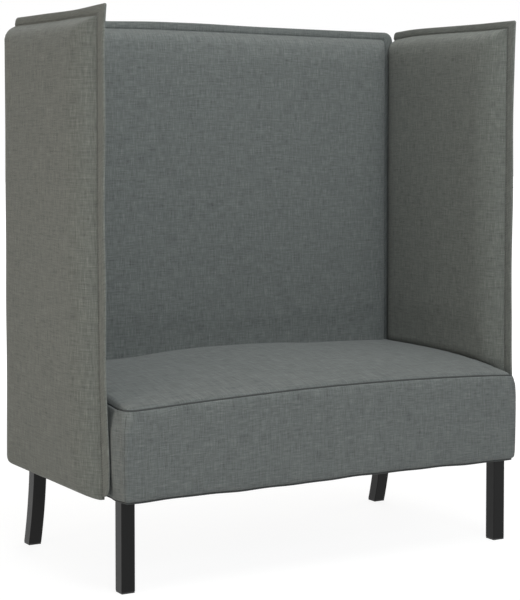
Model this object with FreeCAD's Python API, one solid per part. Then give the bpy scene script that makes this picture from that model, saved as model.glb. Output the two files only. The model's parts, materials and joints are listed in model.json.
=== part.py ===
import FreeCAD, Part
import math
import os

# A high-back sofa: a padded seat box on four legs, with two side wings and a back.
# Millimetres. The origin is on the floor, at the middle of the width and the depth.
# The sofa faces -Y, +X is the sitter's left, +Z is up.

# Overall sizes
OVERALL_DEPTH = 615.0
TOTAL_HEIGHT = 1330.0
UNDERSIDE = 213.0

# Seat
SEAT_WIDTH = 1104.0
SEAT_CORNER_RADIUS = 20.0
SEAM_HEIGHT = 425.0
SEAT_RISE = 37.0
SEAT_CROWN_FRONT = 13.0
SEAT_CROWN_REAR = 21.0
SEAT_SWELL_POWER = 4
SEAT_FORM_REACH = 1.5
SEAT_FRONT_PADDING = 14.0
SEAT_SIDE_PADDING = 6.0

# Fabric and cloth
COVER_THICKNESS = 2.0
HEM_WIDTH = 20.0
DUST_COVER_THICKNESS = 1.0
DUST_COVER_INSET = 8.0

# Panels: wings and back
WING_SETOFF = 22.5
SEAT_PROJECTION = 44.0
BACK_PROJECTION = 35.5
PAD_CROWN = 37.5
BACK_REAR_CROWN = 31.5
FLANGE_WIDTH = 25.0
FRONT_FLANGE_WIDTH = 30.0
FLANGE_THICKNESS = 6.0
FLANGE_RAISED = 11.0
BACK_SIDE_GAP = 2.0
SEAM_ROLL = 45.0
BACK_SIDE_ROLL = 40.0
TOP_ROLL = 48.0
EDGE_ROUND = 28.0
BOTTOM_ROLL = 30.0
BOTTOM_DROP = 12.0
SEAT_TUCK = 10.0
TUCK_ROLL = 60.0
BACK_FLANGE_CORNER = 18.0
WING_FLANGE_CORNER = 10.0

# Panel cores
FRAME_THICKNESS = 16.0
BOARD_THICKNESS = 3.0
EDGE_WRAP = 26.0
MEMBER_WIDTH = 60.0
MIDDLE_RAIL_HEIGHT = 800.0
TENON_LENGTH = 30.0
TENON_THICKNESS = 6.0
TENON_SHOULDER = 10.0

# Seat frame
RAIL_HEIGHT = 110.0
SIDE_RAIL_THICKNESS = 36.0
CROSS_RAIL_THICKNESS = 28.0
STRETCHER_WIDTH = 40.0
STRETCHER_HEIGHT = 60.0
CORNER_BLOCK_LEG = 60.0
SEAT_TENON_THICKNESS = 12.0
STRAP_WIDTH = 70.0
STRAP_THICKNESS = 1.5
STRAP_LAP = 20.0
LENGTH_STRAP_COUNT = 8
CROSS_STRAP_COUNT = 4

# Legs
LEG_SECTION = 34.0
LEG_EDGE = 1.5
LEG_SETBACK = 35.0
LEG_INSET = 8.5
REAR_LEG_SWEEP = 38.0
REAR_LEG_BOW = 6.3
SPACER_SIZE = 32.0
SPACER_THICKNESS = 6.0
GLIDE_SIZE = 32.0
GLIDE_THICKNESS = 4.0
GLIDE_PIN_DIAMETER = 4.0
GLIDE_PIN_LENGTH = 14.0

# Fasteners
BOLT_DIAMETER = 8.0
BOLT_HEAD_DIAMETER = 13.0
BOLT_HEAD_HEIGHT = 8.0
BOLT_SOCKET = 6.0
WASHER_DIAMETER = 20.0
WASHER_THICKNESS = 1.6
TEE_NUT_FLANGE = 22.0
TEE_NUT_FLANGE_THICKNESS = 1.5
TEE_NUT_BARREL = 10.0
TEE_NUT_DEPTH = 10.0
BUSH_DIAMETER = 30.0
STUD_IN_LEG = 40.0
INSERT_DIAMETER = 12.0
INSERT_LENGTH = 25.0
BOLT_FROM_BLOCK = 40.0
BOLT_FROM_STILE = 25.0
BACK_BOLT_COUNT = 3

# Angle brackets between wings and back
BRACKET_HEIGHT = 60.0
BRACKET_THICKNESS = 4.0
BRACKET_GRIP = 40.0
BRACKET_LEVEL = 385.0
SCREW_DIAMETER = 4.0
SCREW_LENGTH = 14.0
SCREW_HEAD_DIAMETER = 8.0
SCREW_HEAD_HEIGHT = 2.5
SCREW_SPACING = 30.0

# Stations of the soft forms, as shares of the stretch that they divide
BOTTOM_STATIONS = (0.0, 0.2, 0.5, 1.0)
THIN_STATIONS = (0.0, 0.35, 0.7, 1.0)
TUCK_STATIONS = (0.12, 0.35, 0.65, 1.0)
BODY_STATIONS = (0.25, 0.5, 0.75, 1.0)
TOP_STATIONS = (0.7, 0.42, 0.2, 0.07, 0.0)
SEAT_STATIONS = (-0.02, 0.08, 0.2, 0.4, 0.7, 1.0)

# Clearances
CLEARANCE = 0.3
HOLE_CLEARANCE = 0.2
SOFT_CLEARANCE = 0.5

V = FreeCAD.Vector
X_AXIS = V(1, 0, 0)
Y_AXIS = V(0, 1, 0)
Z_AXIS = V(0, 0, 1)

# Places worked out from the sizes above
FRONT_Y = -OVERALL_DEPTH / 2
REAR_Y = OVERALL_DEPTH / 2
SEAT_HALF = SEAT_WIDTH / 2
LIP = FLANGE_THICKNESS / 2
CORE_HALF = FRAME_THICKNESS / 2 + BOARD_THICKNESS

WING_X = SEAT_HALF + WING_SETOFF
WING_FLANGE_Y = FRONT_Y + SEAT_PROJECTION
WING_SEAM_Y = WING_FLANGE_Y + FRONT_FLANGE_WIDTH
WING_REAR_Y = REAR_Y - BACK_PROJECTION
SEAM_Z = TOTAL_HEIGHT - FLANGE_WIDTH
FLANGE_BOTTOM_Z = UNDERSIDE + FLANGE_RAISED

BACK_Y = WING_REAR_Y + SOFT_CLEARANCE + LIP
BACK_FRONT_Y = BACK_Y - PAD_CROWN
BACK_HALF = WING_X - PAD_CROWN - BACK_SIDE_GAP
BACK_FLANGE_HALF = BACK_HALF + FLANGE_WIDTH

RAIL_BOTTOM_Z = UNDERSIDE + DUST_COVER_THICKNESS + COVER_THICKNESS
RAIL_TOP_Z = RAIL_BOTTOM_Z + RAIL_HEIGHT
RAIL_OUT_X = SEAT_HALF - SEAT_SIDE_PADDING
RAIL_IN_X = RAIL_OUT_X - SIDE_RAIL_THICKNESS
RAIL_FRONT_Y = FRONT_Y + SEAT_FRONT_PADDING
RAIL_REAR_Y = BACK_Y - CORE_HALF
STRAP_TOP_Z = RAIL_TOP_Z + 2 * STRAP_THICKNESS
SEAT_REAR_Y = BACK_FRONT_Y - SOFT_CLEARANCE
INNER_FRONT_Y = RAIL_FRONT_Y + CROSS_RAIL_THICKNESS
INNER_REAR_Y = RAIL_REAR_Y - CROSS_RAIL_THICKNESS

LEG_X = SEAT_HALF - LEG_INSET - LEG_SECTION / 2
FRONT_LEG_Y = FRONT_Y + LEG_SETBACK + LEG_SECTION / 2
REAR_LEG_FOOT_Y = REAR_Y - LEG_SECTION / 2
REAR_LEG_TOP_Y = REAR_LEG_FOOT_Y - REAR_LEG_SWEEP
LEG_TOP_Z = RAIL_BOTTOM_Z - SPACER_THICKNESS

CORE_BOTTOM_Z = RAIL_BOTTOM_Z
CORE_TOP_Z = SEAM_Z - EDGE_WRAP
BOTTOM_RAIL_TOP_Z = RAIL_TOP_Z
WING_CORE_FRONT_Y = WING_SEAM_Y + EDGE_WRAP
WING_CORE_REAR_Y = WING_REAR_Y - EDGE_WRAP
BACK_CORE_HALF = BACK_HALF - EDGE_WRAP
BOLT_Z = RAIL_BOTTOM_Z + RAIL_HEIGHT / 2
WING_BOLT_FRONT_Y = WING_CORE_FRONT_Y + MEMBER_WIDTH + BOLT_FROM_STILE
WING_BOLT_REAR_Y = WING_CORE_REAR_Y - MEMBER_WIDTH - BOLT_FROM_STILE
BACK_BOLT_X = RAIL_IN_X - CORNER_BLOCK_LEG - BOLT_FROM_BLOCK
STRETCHER_X = BACK_BOLT_X / 2


# Basic shapes
def box(x0, x1, y0, y1, z0, z1):
    return Part.makeBox(x1 - x0, y1 - y0, z1 - z0, V(x0, y0, z0))


def rod(diameter, start, direction, length):
    return Part.makeCylinder(diameter / 2, length, start, direction)


def segment(a, b):
    return Part.LineSegment(a, b).toShape()


def arc(a, middle, b):
    return Part.Arc(a, middle, b).toShape()


def prism(edges, sweep):
    return Part.Face(Part.Wire(edges)).extrude(sweep)


def mirrored(shape):
    return shape.mirror(V(0, 0, 0), X_AXIS)


def both_sides(shapes):
    return shapes + [mirrored(s) for s in shapes]


def cut_all(shape, tools):
    for tool in tools:
        shape = shape.cut(tool)
    return shape


def save(name, shape):
    solids = shape.Solids
    whole = solids[0] if len(solids) == 1 else Part.makeCompound(solids)
    whole.exportStep("parts/" + name + ".step")
    bad = [s for s in solids if not s.isValid() or s.Volume <= 0]
    print(name, len(solids), "solids", round(sum(s.Volume for s in solids)), "BAD" if bad else "")


# Padded panels
def crown_at(distance, lip, crown, roll):
    """Height of a padded face at a distance from its seam: an arc that ends level with the crown."""
    if distance >= roll:
        return crown
    rise = crown - lip
    radius = (roll * roll + rise * rise) / (2 * rise)
    return crown - radius + math.sqrt(radius * radius - (roll - distance) ** 2)


def edge_arc(place, z, edge, lip, inner, crown):
    """Arc from the lip at a panel's edge up to its crown, level where it meets the crown."""
    run = inner - edge
    rise = crown - lip
    radius = (run * run + rise * rise) / (2 * rise)
    half_turn = math.asin(min(1.0, abs(run) / radius)) / 2
    middle = inner - math.copysign(radius * math.sin(half_turn), run)
    height = crown - radius * (1 - math.cos(half_turn))
    return place(edge, lip, z), place(middle, height, z), place(inner, crown, z)


def pad_section(place, z, crown, edges):
    """Closed outline of a padded half panel at one level: edges are (place, lip, roll) of its two ends."""
    (start, start_lip, start_roll), (end, end_lip, end_roll) = edges
    a, a_mid, a_top = edge_arc(place, z, start, start_lip, start + start_roll, crown)
    b, b_mid, b_top = edge_arc(place, z, end, end_lip, end - end_roll, crown)
    foot_a = place(start, 0, z)
    foot_b = place(end, 0, z)
    return Part.Wire([
        segment(foot_a, a),
        arc(a, a_mid, a_top),
        segment(a_top, b_top),
        arc(b_top, b_mid, b),
        segment(b, foot_b),
        segment(foot_b, foot_a),
    ])


def pad(place, levels, start, end, inset):
    """Padded half panel lofted upwards through levels of (height, crown), drawn in by inset all round.

    start and end are the two upright edges: their place, the width of their roll, and whether they
    are sewn to a flange or plainly rounded.
    """
    lip = LIP - inset / 2
    sections = []
    for z, crown in levels:
        height = max(crown - inset, LIP + CLEARANCE)
        ends = []
        for (edge, roll, sewn), inward in ((start, 1), (end, -1)):
            edge_lip = lip if sewn else max(lip, height - roll)
            ends.append((edge + inward * inset, edge_lip, roll))
        sections.append(pad_section(place, z, height, ends))
    return Part.makeLoft(sections, True, True)


def pad_levels(bottom, top, crown, bottom_crown, inset, tuck=None):
    """Levels of a pad: a rounded bottom edge, an optional thin stretch behind the seat, a rolled-in top."""
    levels = []
    low, high = bottom + inset, top - inset
    if tuck is None:
        for share in BOTTOM_STATIONS:
            z = low + share * BOTTOM_ROLL
            levels.append((z, crown_at(share * BOTTOM_ROLL, bottom_crown, crown, BOTTOM_ROLL)))
        body_from = low + BOTTOM_ROLL
    else:
        tuck_z, thin = tuck
        for share in THIN_STATIONS:
            levels.append((low + share * (tuck_z - low), thin))
        for share in TUCK_STATIONS:
            levels.append((tuck_z + share * TUCK_ROLL, crown_at(share * TUCK_ROLL, thin, crown, TUCK_ROLL)))
        body_from = tuck_z + TUCK_ROLL
    body_to = high - TOP_ROLL
    for share in BODY_STATIONS:
        levels.append((body_from + share * (body_to - body_from), crown))
    for share in TOP_STATIONS:
        levels.append((high - share * TOP_ROLL, crown_at(share * TOP_ROLL, LIP, crown, TOP_ROLL)))
    return levels


def rounded_corner(before, here, after, radius):
    """Start, middle and end of the arc that rounds a square corner."""
    back = (before - here).normalize() * radius
    onward = (after - here).normalize() * radius
    return here + back, here + (back + onward) * (1 - math.sqrt(0.5)), here + onward


def flange_plate(place, points, corners):
    """Flat half of a flange: an outline through (across, up) points, with the listed corners rounded."""
    outline = [place(across, 0, up) for across, up in points]
    count = len(outline)
    bends = [
        rounded_corner(outline[i - 1], outline[i], outline[(i + 1) % count], corners.get(i, 0))
        for i in range(count)
    ]
    edges = []
    for i in range(count):
        if i in corners:
            edges.append(arc(*bends[i]))
        edges.append(segment(bends[i][2], bends[(i + 1) % count][0]))
    return prism(edges, place(0, LIP, 0) - place(0, 0, 0))


def padded_half(place, bottom, crown, start, end, flange, core, tuck=None, floor_crown=None):
    """Cover and foam of one half of a panel: a shell with its half of the flange, and what fills it."""
    top = SEAM_Z
    if floor_crown is None:
        floor_crown = crown - BOTTOM_DROP
    outside = pad(place, pad_levels(bottom, top, crown, floor_crown, 0, tuck), start, end, 0)
    levels = pad_levels(bottom, top, crown, floor_crown, COVER_THICKNESS, tuck)
    inside = pad(place, levels, start, end, COVER_THICKNESS)
    cover = outside.cut(inside).cut(core).fuse(flange).removeSplitter()
    foam = inside.cut(core)
    return cover, foam


# Wood frame of a panel, drawn in a plane: across, up, and through the thickness
def panel_frame(solid_at, low, high, names):
    """Two stiles and three rails with tenons. solid_at makes a block from across, through and up ranges."""
    half = FRAME_THICKNESS / 2
    tongue = TENON_THICKNESS / 2
    rails = {
        names[2]: (CORE_TOP_Z - MEMBER_WIDTH, CORE_TOP_Z),
        names[3]: (MIDDLE_RAIL_HEIGHT, MIDDLE_RAIL_HEIGHT + MEMBER_WIDTH),
        names[4]: (CORE_BOTTOM_Z, BOTTOM_RAIL_TOP_Z),
    }
    left = solid_at(low, low + MEMBER_WIDTH, -half, half, CORE_BOTTOM_Z, CORE_TOP_Z)
    right = solid_at(high - MEMBER_WIDTH, high, -half, half, CORE_BOTTOM_Z, CORE_TOP_Z)
    pieces = {}
    inner_low = low + MEMBER_WIDTH
    inner_high = high - MEMBER_WIDTH
    for name, (z0, z1) in rails.items():
        tenon_z0 = z0 + TENON_SHOULDER
        tenon_z1 = z1 - TENON_SHOULDER
        body = solid_at(inner_low, inner_high, -half, half, z0, z1)
        tenon = solid_at(
            inner_low - TENON_LENGTH, inner_high + TENON_LENGTH, -tongue, tongue, tenon_z0, tenon_z1
        )
        mortise = solid_at(
            inner_low - TENON_LENGTH - HOLE_CLEARANCE,
            inner_high + TENON_LENGTH + HOLE_CLEARANCE,
            -tongue - HOLE_CLEARANCE,
            tongue + HOLE_CLEARANCE,
            tenon_z0 - HOLE_CLEARANCE,
            tenon_z1 + HOLE_CLEARANCE,
        )
        pieces[name] = body.fuse(tenon).removeSplitter()
        left = left.cut(mortise)
        right = right.cut(mortise)
    pieces[names[0]] = left
    pieces[names[1]] = right
    return pieces


# Bolts that hold the panels to the seat frame
def bolt(head_at, direction, length):
    """Socket-head bolt: head_at is the centre of the head's underside, direction is where the shank goes."""
    shank = rod(BOLT_DIAMETER, head_at, direction, length)
    head = rod(BOLT_HEAD_DIAMETER, head_at - direction * BOLT_HEAD_HEIGHT, direction, BOLT_HEAD_HEIGHT)
    socket = rod(BOLT_SOCKET, head_at - direction * BOLT_HEAD_HEIGHT, direction, BOLT_HEAD_HEIGHT / 2)
    return head.fuse(shank).cut(socket).removeSplitter()


def washer(face, direction):
    hole = rod(BOLT_DIAMETER + 2 * HOLE_CLEARANCE, face, direction, WASHER_THICKNESS)
    return rod(WASHER_DIAMETER, face, direction, WASHER_THICKNESS).cut(hole)


def tee_nut(face, direction):
    """Tee nut let in from the far side: face is where its flange sits, direction is where the bolt leaves."""
    flange = rod(TEE_NUT_FLANGE, face, direction, TEE_NUT_FLANGE_THICKNESS)
    barrel = rod(TEE_NUT_BARREL, face - direction * TEE_NUT_DEPTH, direction, TEE_NUT_DEPTH)
    bore = rod(
        BOLT_DIAMETER + 2 * HOLE_CLEARANCE,
        face - direction * TEE_NUT_DEPTH,
        direction,
        TEE_NUT_DEPTH + TEE_NUT_FLANGE_THICKNESS,
    )
    return flange.fuse(barrel).cut(bore).removeSplitter()


def clear_hole(diameter, start, direction, length):
    return rod(diameter + 2 * HOLE_CLEARANCE, start, direction, length)


# Bolt lines: each is the point on the rail's inner face and the direction of the bolt
WING_BOLT_POINTS = [V(RAIL_IN_X, y, BOLT_Z) for y in (WING_BOLT_FRONT_Y, WING_BOLT_REAR_Y)]
BACK_BOLT_POINTS = [
    V(BACK_BOLT_X * (2 * i / (BACK_BOLT_COUNT - 1) - 1), INNER_REAR_Y, BOLT_Z) for i in range(BACK_BOLT_COUNT)
]
WING_FRAME_OUT_X = WING_X + FRAME_THICKNESS / 2
BACK_FRAME_OUT_Y = BACK_Y + FRAME_THICKNESS / 2
WING_BOLT_LENGTH = WING_FRAME_OUT_X - RAIL_IN_X + WASHER_THICKNESS
BACK_BOLT_LENGTH = BACK_FRAME_OUT_Y - INNER_REAR_Y + WASHER_THICKNESS
BUSH_LENGTH = WING_X - CORE_HALF - RAIL_OUT_X

wing_bolt_holes = [
    clear_hole(BOLT_DIAMETER, p, X_AXIS, WING_BOLT_LENGTH) for p in WING_BOLT_POINTS
]
wing_nut_holes = [
    clear_hole(TEE_NUT_BARREL, V(WING_FRAME_OUT_X - TEE_NUT_DEPTH, p.y, p.z), X_AXIS, TEE_NUT_DEPTH)
    for p in WING_BOLT_POINTS
]
wing_nut_windows = [
    clear_hole(TEE_NUT_FLANGE, V(WING_FRAME_OUT_X, p.y, p.z), X_AXIS, BOARD_THICKNESS)
    for p in WING_BOLT_POINTS
]
bush_holes = [
    clear_hole(BUSH_DIAMETER, V(RAIL_OUT_X, p.y, p.z), X_AXIS, BUSH_LENGTH) for p in WING_BOLT_POINTS
]
back_bolt_holes = [
    clear_hole(BOLT_DIAMETER, p, Y_AXIS, BACK_BOLT_LENGTH) for p in BACK_BOLT_POINTS
]
back_nut_holes = [
    clear_hole(TEE_NUT_BARREL, V(p.x, BACK_FRAME_OUT_Y - TEE_NUT_DEPTH, p.z), Y_AXIS, TEE_NUT_DEPTH)
    for p in BACK_BOLT_POINTS
]
back_nut_windows = [
    clear_hole(TEE_NUT_FLANGE, V(p.x, BACK_FRAME_OUT_Y, p.z), Y_AXIS, BOARD_THICKNESS)
    for p in BACK_BOLT_POINTS
]

# Angle brackets: one leaf on the wing's inner board, one on the back's front board
BRACKET_X = WING_X - CORE_HALF
BRACKET_Y = BACK_Y - CORE_HALF
BRACKET_WING_FROM_Y = WING_CORE_REAR_Y - BRACKET_GRIP
BRACKET_BACK_FROM_X = BACK_CORE_HALF - BRACKET_GRIP


def bracket_grown(growth):
    """Angle bracket on the +X side, grown by growth to make the slot that it passes through."""
    z0 = BRACKET_LEVEL - BRACKET_HEIGHT / 2 - growth
    z1 = BRACKET_LEVEL + BRACKET_HEIGHT / 2 + growth
    wing_leaf = box(
        BRACKET_X - BRACKET_THICKNESS - growth,
        BRACKET_X,
        BRACKET_WING_FROM_Y - growth,
        BRACKET_Y,
        z0,
        z1,
    )
    back_leaf = box(
        BRACKET_BACK_FROM_X - growth,
        BRACKET_X,
        BRACKET_Y - BRACKET_THICKNESS - growth,
        BRACKET_Y,
        z0,
        z1,
    )
    return wing_leaf.fuse(back_leaf).removeSplitter()


def screw(face, direction, growth):
    """Pan-head screw driven along direction, its head on a face; growth makes the room it needs."""
    head = rod(
        SCREW_HEAD_DIAMETER + 2 * growth,
        face - direction * (SCREW_HEAD_HEIGHT + growth),
        direction,
        SCREW_HEAD_HEIGHT + growth,
    )
    shank = rod(SCREW_DIAMETER + 2 * growth, face, direction, SCREW_LENGTH + growth)
    return head.fuse(shank).removeSplitter()


def bracket_screws(growth):
    screws = []
    for step in (-0.5, 0.5):
        z = BRACKET_LEVEL + step * SCREW_SPACING
        on_wing = V(BRACKET_X - BRACKET_THICKNESS, WING_CORE_REAR_Y - BRACKET_GRIP / 2, z)
        on_back = V(BACK_CORE_HALF - BRACKET_GRIP / 2, BRACKET_Y - BRACKET_THICKNESS, z)
        screws.append(screw(on_wing, X_AXIS, growth))
        screws.append(screw(on_back, Y_AXIS, growth))
    return screws


screws = bracket_screws(0)
screw_rooms = bracket_screws(HOLE_CLEARANCE)
bracket = cut_all(bracket_grown(0), screw_rooms)
bracket_slot = bracket_grown(HOLE_CLEARANCE)


# Wings: the +X one is built and mirrored
def wing_outward(across, through, up):
    return V(WING_X + through, across, up)


def wing_inward(across, through, up):
    return V(WING_X - through, across, up)


def wing_block(a0, a1, t0, t1, z0, z1):
    return box(WING_X + t0, WING_X + t1, a0, a1, z0, z1)


def wing_flange(place):
    points = [
        (WING_FLANGE_Y, FLANGE_BOTTOM_Z),
        (WING_SEAM_Y, FLANGE_BOTTOM_Z),
        (WING_SEAM_Y, SEAM_Z),
        (WING_REAR_Y, SEAM_Z),
        (WING_REAR_Y, TOTAL_HEIGHT),
        (WING_FLANGE_Y, TOTAL_HEIGHT),
    ]
    return flange_plate(place, points, {0: WING_FLANGE_CORNER, 4: WING_FLANGE_CORNER})


def build_wing():
    frame_half = FRAME_THICKNESS / 2
    pieces = panel_frame(
        wing_block,
        WING_CORE_FRONT_Y,
        WING_CORE_REAR_Y,
        ("front_stile", "rear_stile", "top_rail", "middle_rail", "bottom_rail"),
    )
    pieces["inner_board"] = wing_block(
        WING_CORE_FRONT_Y, WING_CORE_REAR_Y, -CORE_HALF, -frame_half, CORE_BOTTOM_Z, CORE_TOP_Z
    )
    pieces["outer_board"] = wing_block(
        WING_CORE_FRONT_Y, WING_CORE_REAR_Y, frame_half, CORE_HALF, CORE_BOTTOM_Z, CORE_TOP_Z
    )
    core = wing_block(
        WING_CORE_FRONT_Y, WING_CORE_REAR_Y, -CORE_HALF, CORE_HALF, CORE_BOTTOM_Z, CORE_TOP_Z
    )
    start = (WING_SEAM_Y, SEAM_ROLL, True)
    end = (WING_REAR_Y, EDGE_ROUND, False)
    thin = WING_SETOFF - SOFT_CLEARANCE
    tuck = (SEAM_HEIGHT + SEAT_RISE + SEAT_TUCK, thin)
    pieces["outer_cover"], pieces["outer_foam"] = padded_half(
        wing_outward, UNDERSIDE, PAD_CROWN, start, end, wing_flange(wing_outward), core
    )
    pieces["inner_cover"], pieces["inner_foam"] = padded_half(
        wing_inward, UNDERSIDE, PAD_CROWN, start, end, wing_flange(wing_inward), core, tuck
    )
    for name in ("inner_cover", "inner_foam"):
        pieces[name] = cut_all(pieces[name], bush_holes + [bracket_slot] + screw_rooms)
    for name in ("bottom_rail", "inner_board"):
        pieces[name] = cut_all(pieces[name], wing_bolt_holes)
    pieces["bottom_rail"] = cut_all(pieces["bottom_rail"], wing_nut_holes)
    pieces["outer_board"] = cut_all(pieces["outer_board"], wing_nut_windows)
    for name in ("inner_board", "rear_stile"):
        pieces[name] = cut_all(pieces[name], screw_rooms)
    return pieces


# Back
def back_forward(across, through, up):
    return V(across, BACK_Y - through, up)


def back_rearward(across, through, up):
    return V(across, BACK_Y + through, up)


def back_block(a0, a1, t0, t1, z0, z1):
    return box(a0, a1, BACK_Y + t0, BACK_Y + t1, z0, z1)


def back_flange(place, bottom):
    points = [
        (-BACK_FLANGE_HALF, bottom),
        (-BACK_HALF, bottom),
        (-BACK_HALF, SEAM_Z),
        (BACK_HALF, SEAM_Z),
        (BACK_HALF, bottom),
        (BACK_FLANGE_HALF, bottom),
        (BACK_FLANGE_HALF, TOTAL_HEIGHT),
        (-BACK_FLANGE_HALF, TOTAL_HEIGHT),
    ]
    return flange_plate(place, points, {6: BACK_FLANGE_CORNER, 7: BACK_FLANGE_CORNER})


def build_back():
    frame_half = FRAME_THICKNESS / 2
    pieces = panel_frame(
        back_block,
        -BACK_CORE_HALF,
        BACK_CORE_HALF,
        ("right_stile", "left_stile", "top_rail", "middle_rail", "bottom_rail"),
    )
    pieces["front_board"] = back_block(
        -BACK_CORE_HALF, BACK_CORE_HALF, -CORE_HALF, -frame_half, CORE_BOTTOM_Z, CORE_TOP_Z
    )
    pieces["rear_board"] = back_block(
        -BACK_CORE_HALF, BACK_CORE_HALF, frame_half, CORE_HALF, CORE_BOTTOM_Z, CORE_TOP_Z
    )
    core = back_block(-BACK_CORE_HALF, BACK_CORE_HALF, -CORE_HALF, CORE_HALF, CORE_BOTTOM_Z, CORE_TOP_Z)
    start = (-BACK_HALF, BACK_SIDE_ROLL, True)
    end = (BACK_HALF, BACK_SIDE_ROLL, True)
    front_bottom = RAIL_TOP_Z + STRAP_THICKNESS + CLEARANCE
    pieces["front_cover"], pieces["front_foam"] = padded_half(
        back_forward,
        front_bottom,
        PAD_CROWN,
        start,
        end,
        back_flange(back_forward, front_bottom),
        core,
        floor_crown=PAD_CROWN - CLEARANCE,
    )
    pieces["rear_cover"], pieces["rear_foam"] = padded_half(
        back_rearward,
        UNDERSIDE,
        BACK_REAR_CROWN,
        start,
        end,
        back_flange(back_rearward, FLANGE_BOTTOM_Z),
        core,
    )
    slots = both_sides([bracket_slot] + screw_rooms)
    for name in ("front_cover", "front_foam"):
        pieces[name] = cut_all(pieces[name], slots)
    for name in ("bottom_rail", "front_board"):
        pieces[name] = cut_all(pieces[name], back_bolt_holes)
    pieces["bottom_rail"] = cut_all(pieces["bottom_rail"], back_nut_holes)
    pieces["rear_board"] = cut_all(pieces["rear_board"], back_nut_windows)
    for name in ("front_board", "left_stile", "right_stile"):
        pieces[name] = cut_all(pieces[name], both_sides(screw_rooms))
    return pieces


# Seat
def seat_outline(inset, rear):
    """Plan of the seat at floor level, with rounded front corners, drawn in by inset at front and sides."""
    half = SEAT_HALF - inset
    front = FRONT_Y + inset
    radius = SEAT_CORNER_RADIUS - inset
    diagonal = radius * (1 - math.sqrt(0.5))
    return [
        segment(V(half, rear, 0), V(half, front + radius, 0)),
        arc(
            V(half, front + radius, 0),
            V(half - diagonal, front + diagonal, 0),
            V(half - radius, front, 0),
        ),
        segment(V(half - radius, front, 0), V(radius - half, front, 0)),
        arc(
            V(radius - half, front, 0),
            V(diagonal - half, front + diagonal, 0),
            V(-half, front + radius, 0),
        ),
        segment(V(-half, front + radius, 0), V(-half, rear, 0)),
        segment(V(-half, rear, 0), V(half, rear, 0)),
    ]


def seat_prism(inset, bottom, top, rear=SEAT_REAR_Y):
    block = prism(seat_outline(inset, rear), V(0, 0, top - bottom))
    block.translate(V(0, 0, bottom))
    return block


def seat_top_form(drop):
    """Everything under the crowned seat top, lowered by drop: a loft from front to back.

    Each section reaches past the seat's sides, where its shallow arc has fallen by more than its crown.
    """
    sections = []
    depth = SEAT_REAR_Y - FRONT_Y
    reach = SEAT_FORM_REACH * SEAT_HALF
    for share in SEAT_STATIONS:
        y = FRONT_Y + share * depth
        swell = 1 - (1 - share) ** SEAT_SWELL_POWER
        edge_z = SEAM_HEIGHT + SEAT_RISE * swell - drop
        middle_z = edge_z + SEAT_CROWN_FRONT + (SEAT_CROWN_REAR - SEAT_CROWN_FRONT) * swell
        floor_a = V(-reach, y, 0)
        floor_b = V(reach, y, 0)
        far_z = middle_z - (middle_z - edge_z) * SEAT_FORM_REACH ** 2
        side_a = V(-reach, y, far_z)
        side_b = V(reach, y, far_z)
        sections.append(Part.Wire([
            segment(floor_a, side_a),
            arc(side_a, V(0, y, middle_z), side_b),
            segment(side_b, floor_b),
            segment(floor_b, floor_a),
        ]))
    return Part.makeLoft(sections, True, True)


def build_seat():
    ceiling = SEAM_HEIGHT + SEAT_RISE + SEAT_CROWN_REAR + SEAT_TUCK
    hem_z = UNDERSIDE + DUST_COVER_THICKNESS
    outside_top = seat_top_form(0)
    inside_top = seat_top_form(COVER_THICKNESS)
    wall = seat_prism(0, hem_z, ceiling).cut(seat_prism(COVER_THICKNESS, hem_z, ceiling))
    hem_inside = box(
        HEM_WIDTH - SEAT_HALF,
        SEAT_HALF - HEM_WIDTH,
        FRONT_Y + HEM_WIDTH,
        SEAT_REAR_Y,
        hem_z,
        RAIL_BOTTOM_Z,
    )
    hem = seat_prism(0, hem_z, RAIL_BOTTOM_Z).cut(hem_inside)
    spacer_rooms = [
        box(
            x - SPACER_SIZE / 2 - CLEARANCE,
            x + SPACER_SIZE / 2 + CLEARANCE,
            y - SPACER_SIZE / 2 - CLEARANCE,
            y + SPACER_SIZE / 2 + CLEARANCE,
            0,
            RAIL_BOTTOM_Z,
        )
        for x in (-LEG_X, LEG_X)
        for y in (FRONT_LEG_Y, REAR_LEG_TOP_Y)
    ]
    boxing = wall.common(outside_top).fuse(hem).removeSplitter()
    boxing = cut_all(boxing, both_sides(bush_holes) + spacer_rooms)
    top_cover = seat_prism(COVER_THICKNESS, RAIL_TOP_Z, ceiling).common(outside_top).cut(inside_top)
    filling = seat_prism(COVER_THICKNESS, RAIL_BOTTOM_Z, ceiling).common(inside_top)
    frame_room = box(-RAIL_OUT_X, RAIL_OUT_X, RAIL_FRONT_Y, REAR_Y, 0, STRAP_TOP_Z)
    foam = cut_all(filling.cut(frame_room), both_sides(bush_holes))
    dust = box(
        -SEAT_HALF + DUST_COVER_INSET,
        SEAT_HALF - DUST_COVER_INSET,
        FRONT_Y + DUST_COVER_INSET,
        RAIL_REAR_Y,
        UNDERSIDE,
        hem_z,
    )
    front_corners = [
        e for e in dust.Edges
        if abs(e.BoundBox.ZLength - DUST_COVER_THICKNESS) < CLEARANCE and e.BoundBox.YMax < 0
    ]
    dust = dust.makeFillet(SEAT_CORNER_RADIUS - DUST_COVER_INSET, front_corners)
    dust = cut_all(dust, spacer_rooms)
    return {
        "seat_boxing_cover": boxing,
        "seat_top_cover": top_cover,
        "seat_foam": foam,
        "seat_dust_cover": dust,
    }


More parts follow.
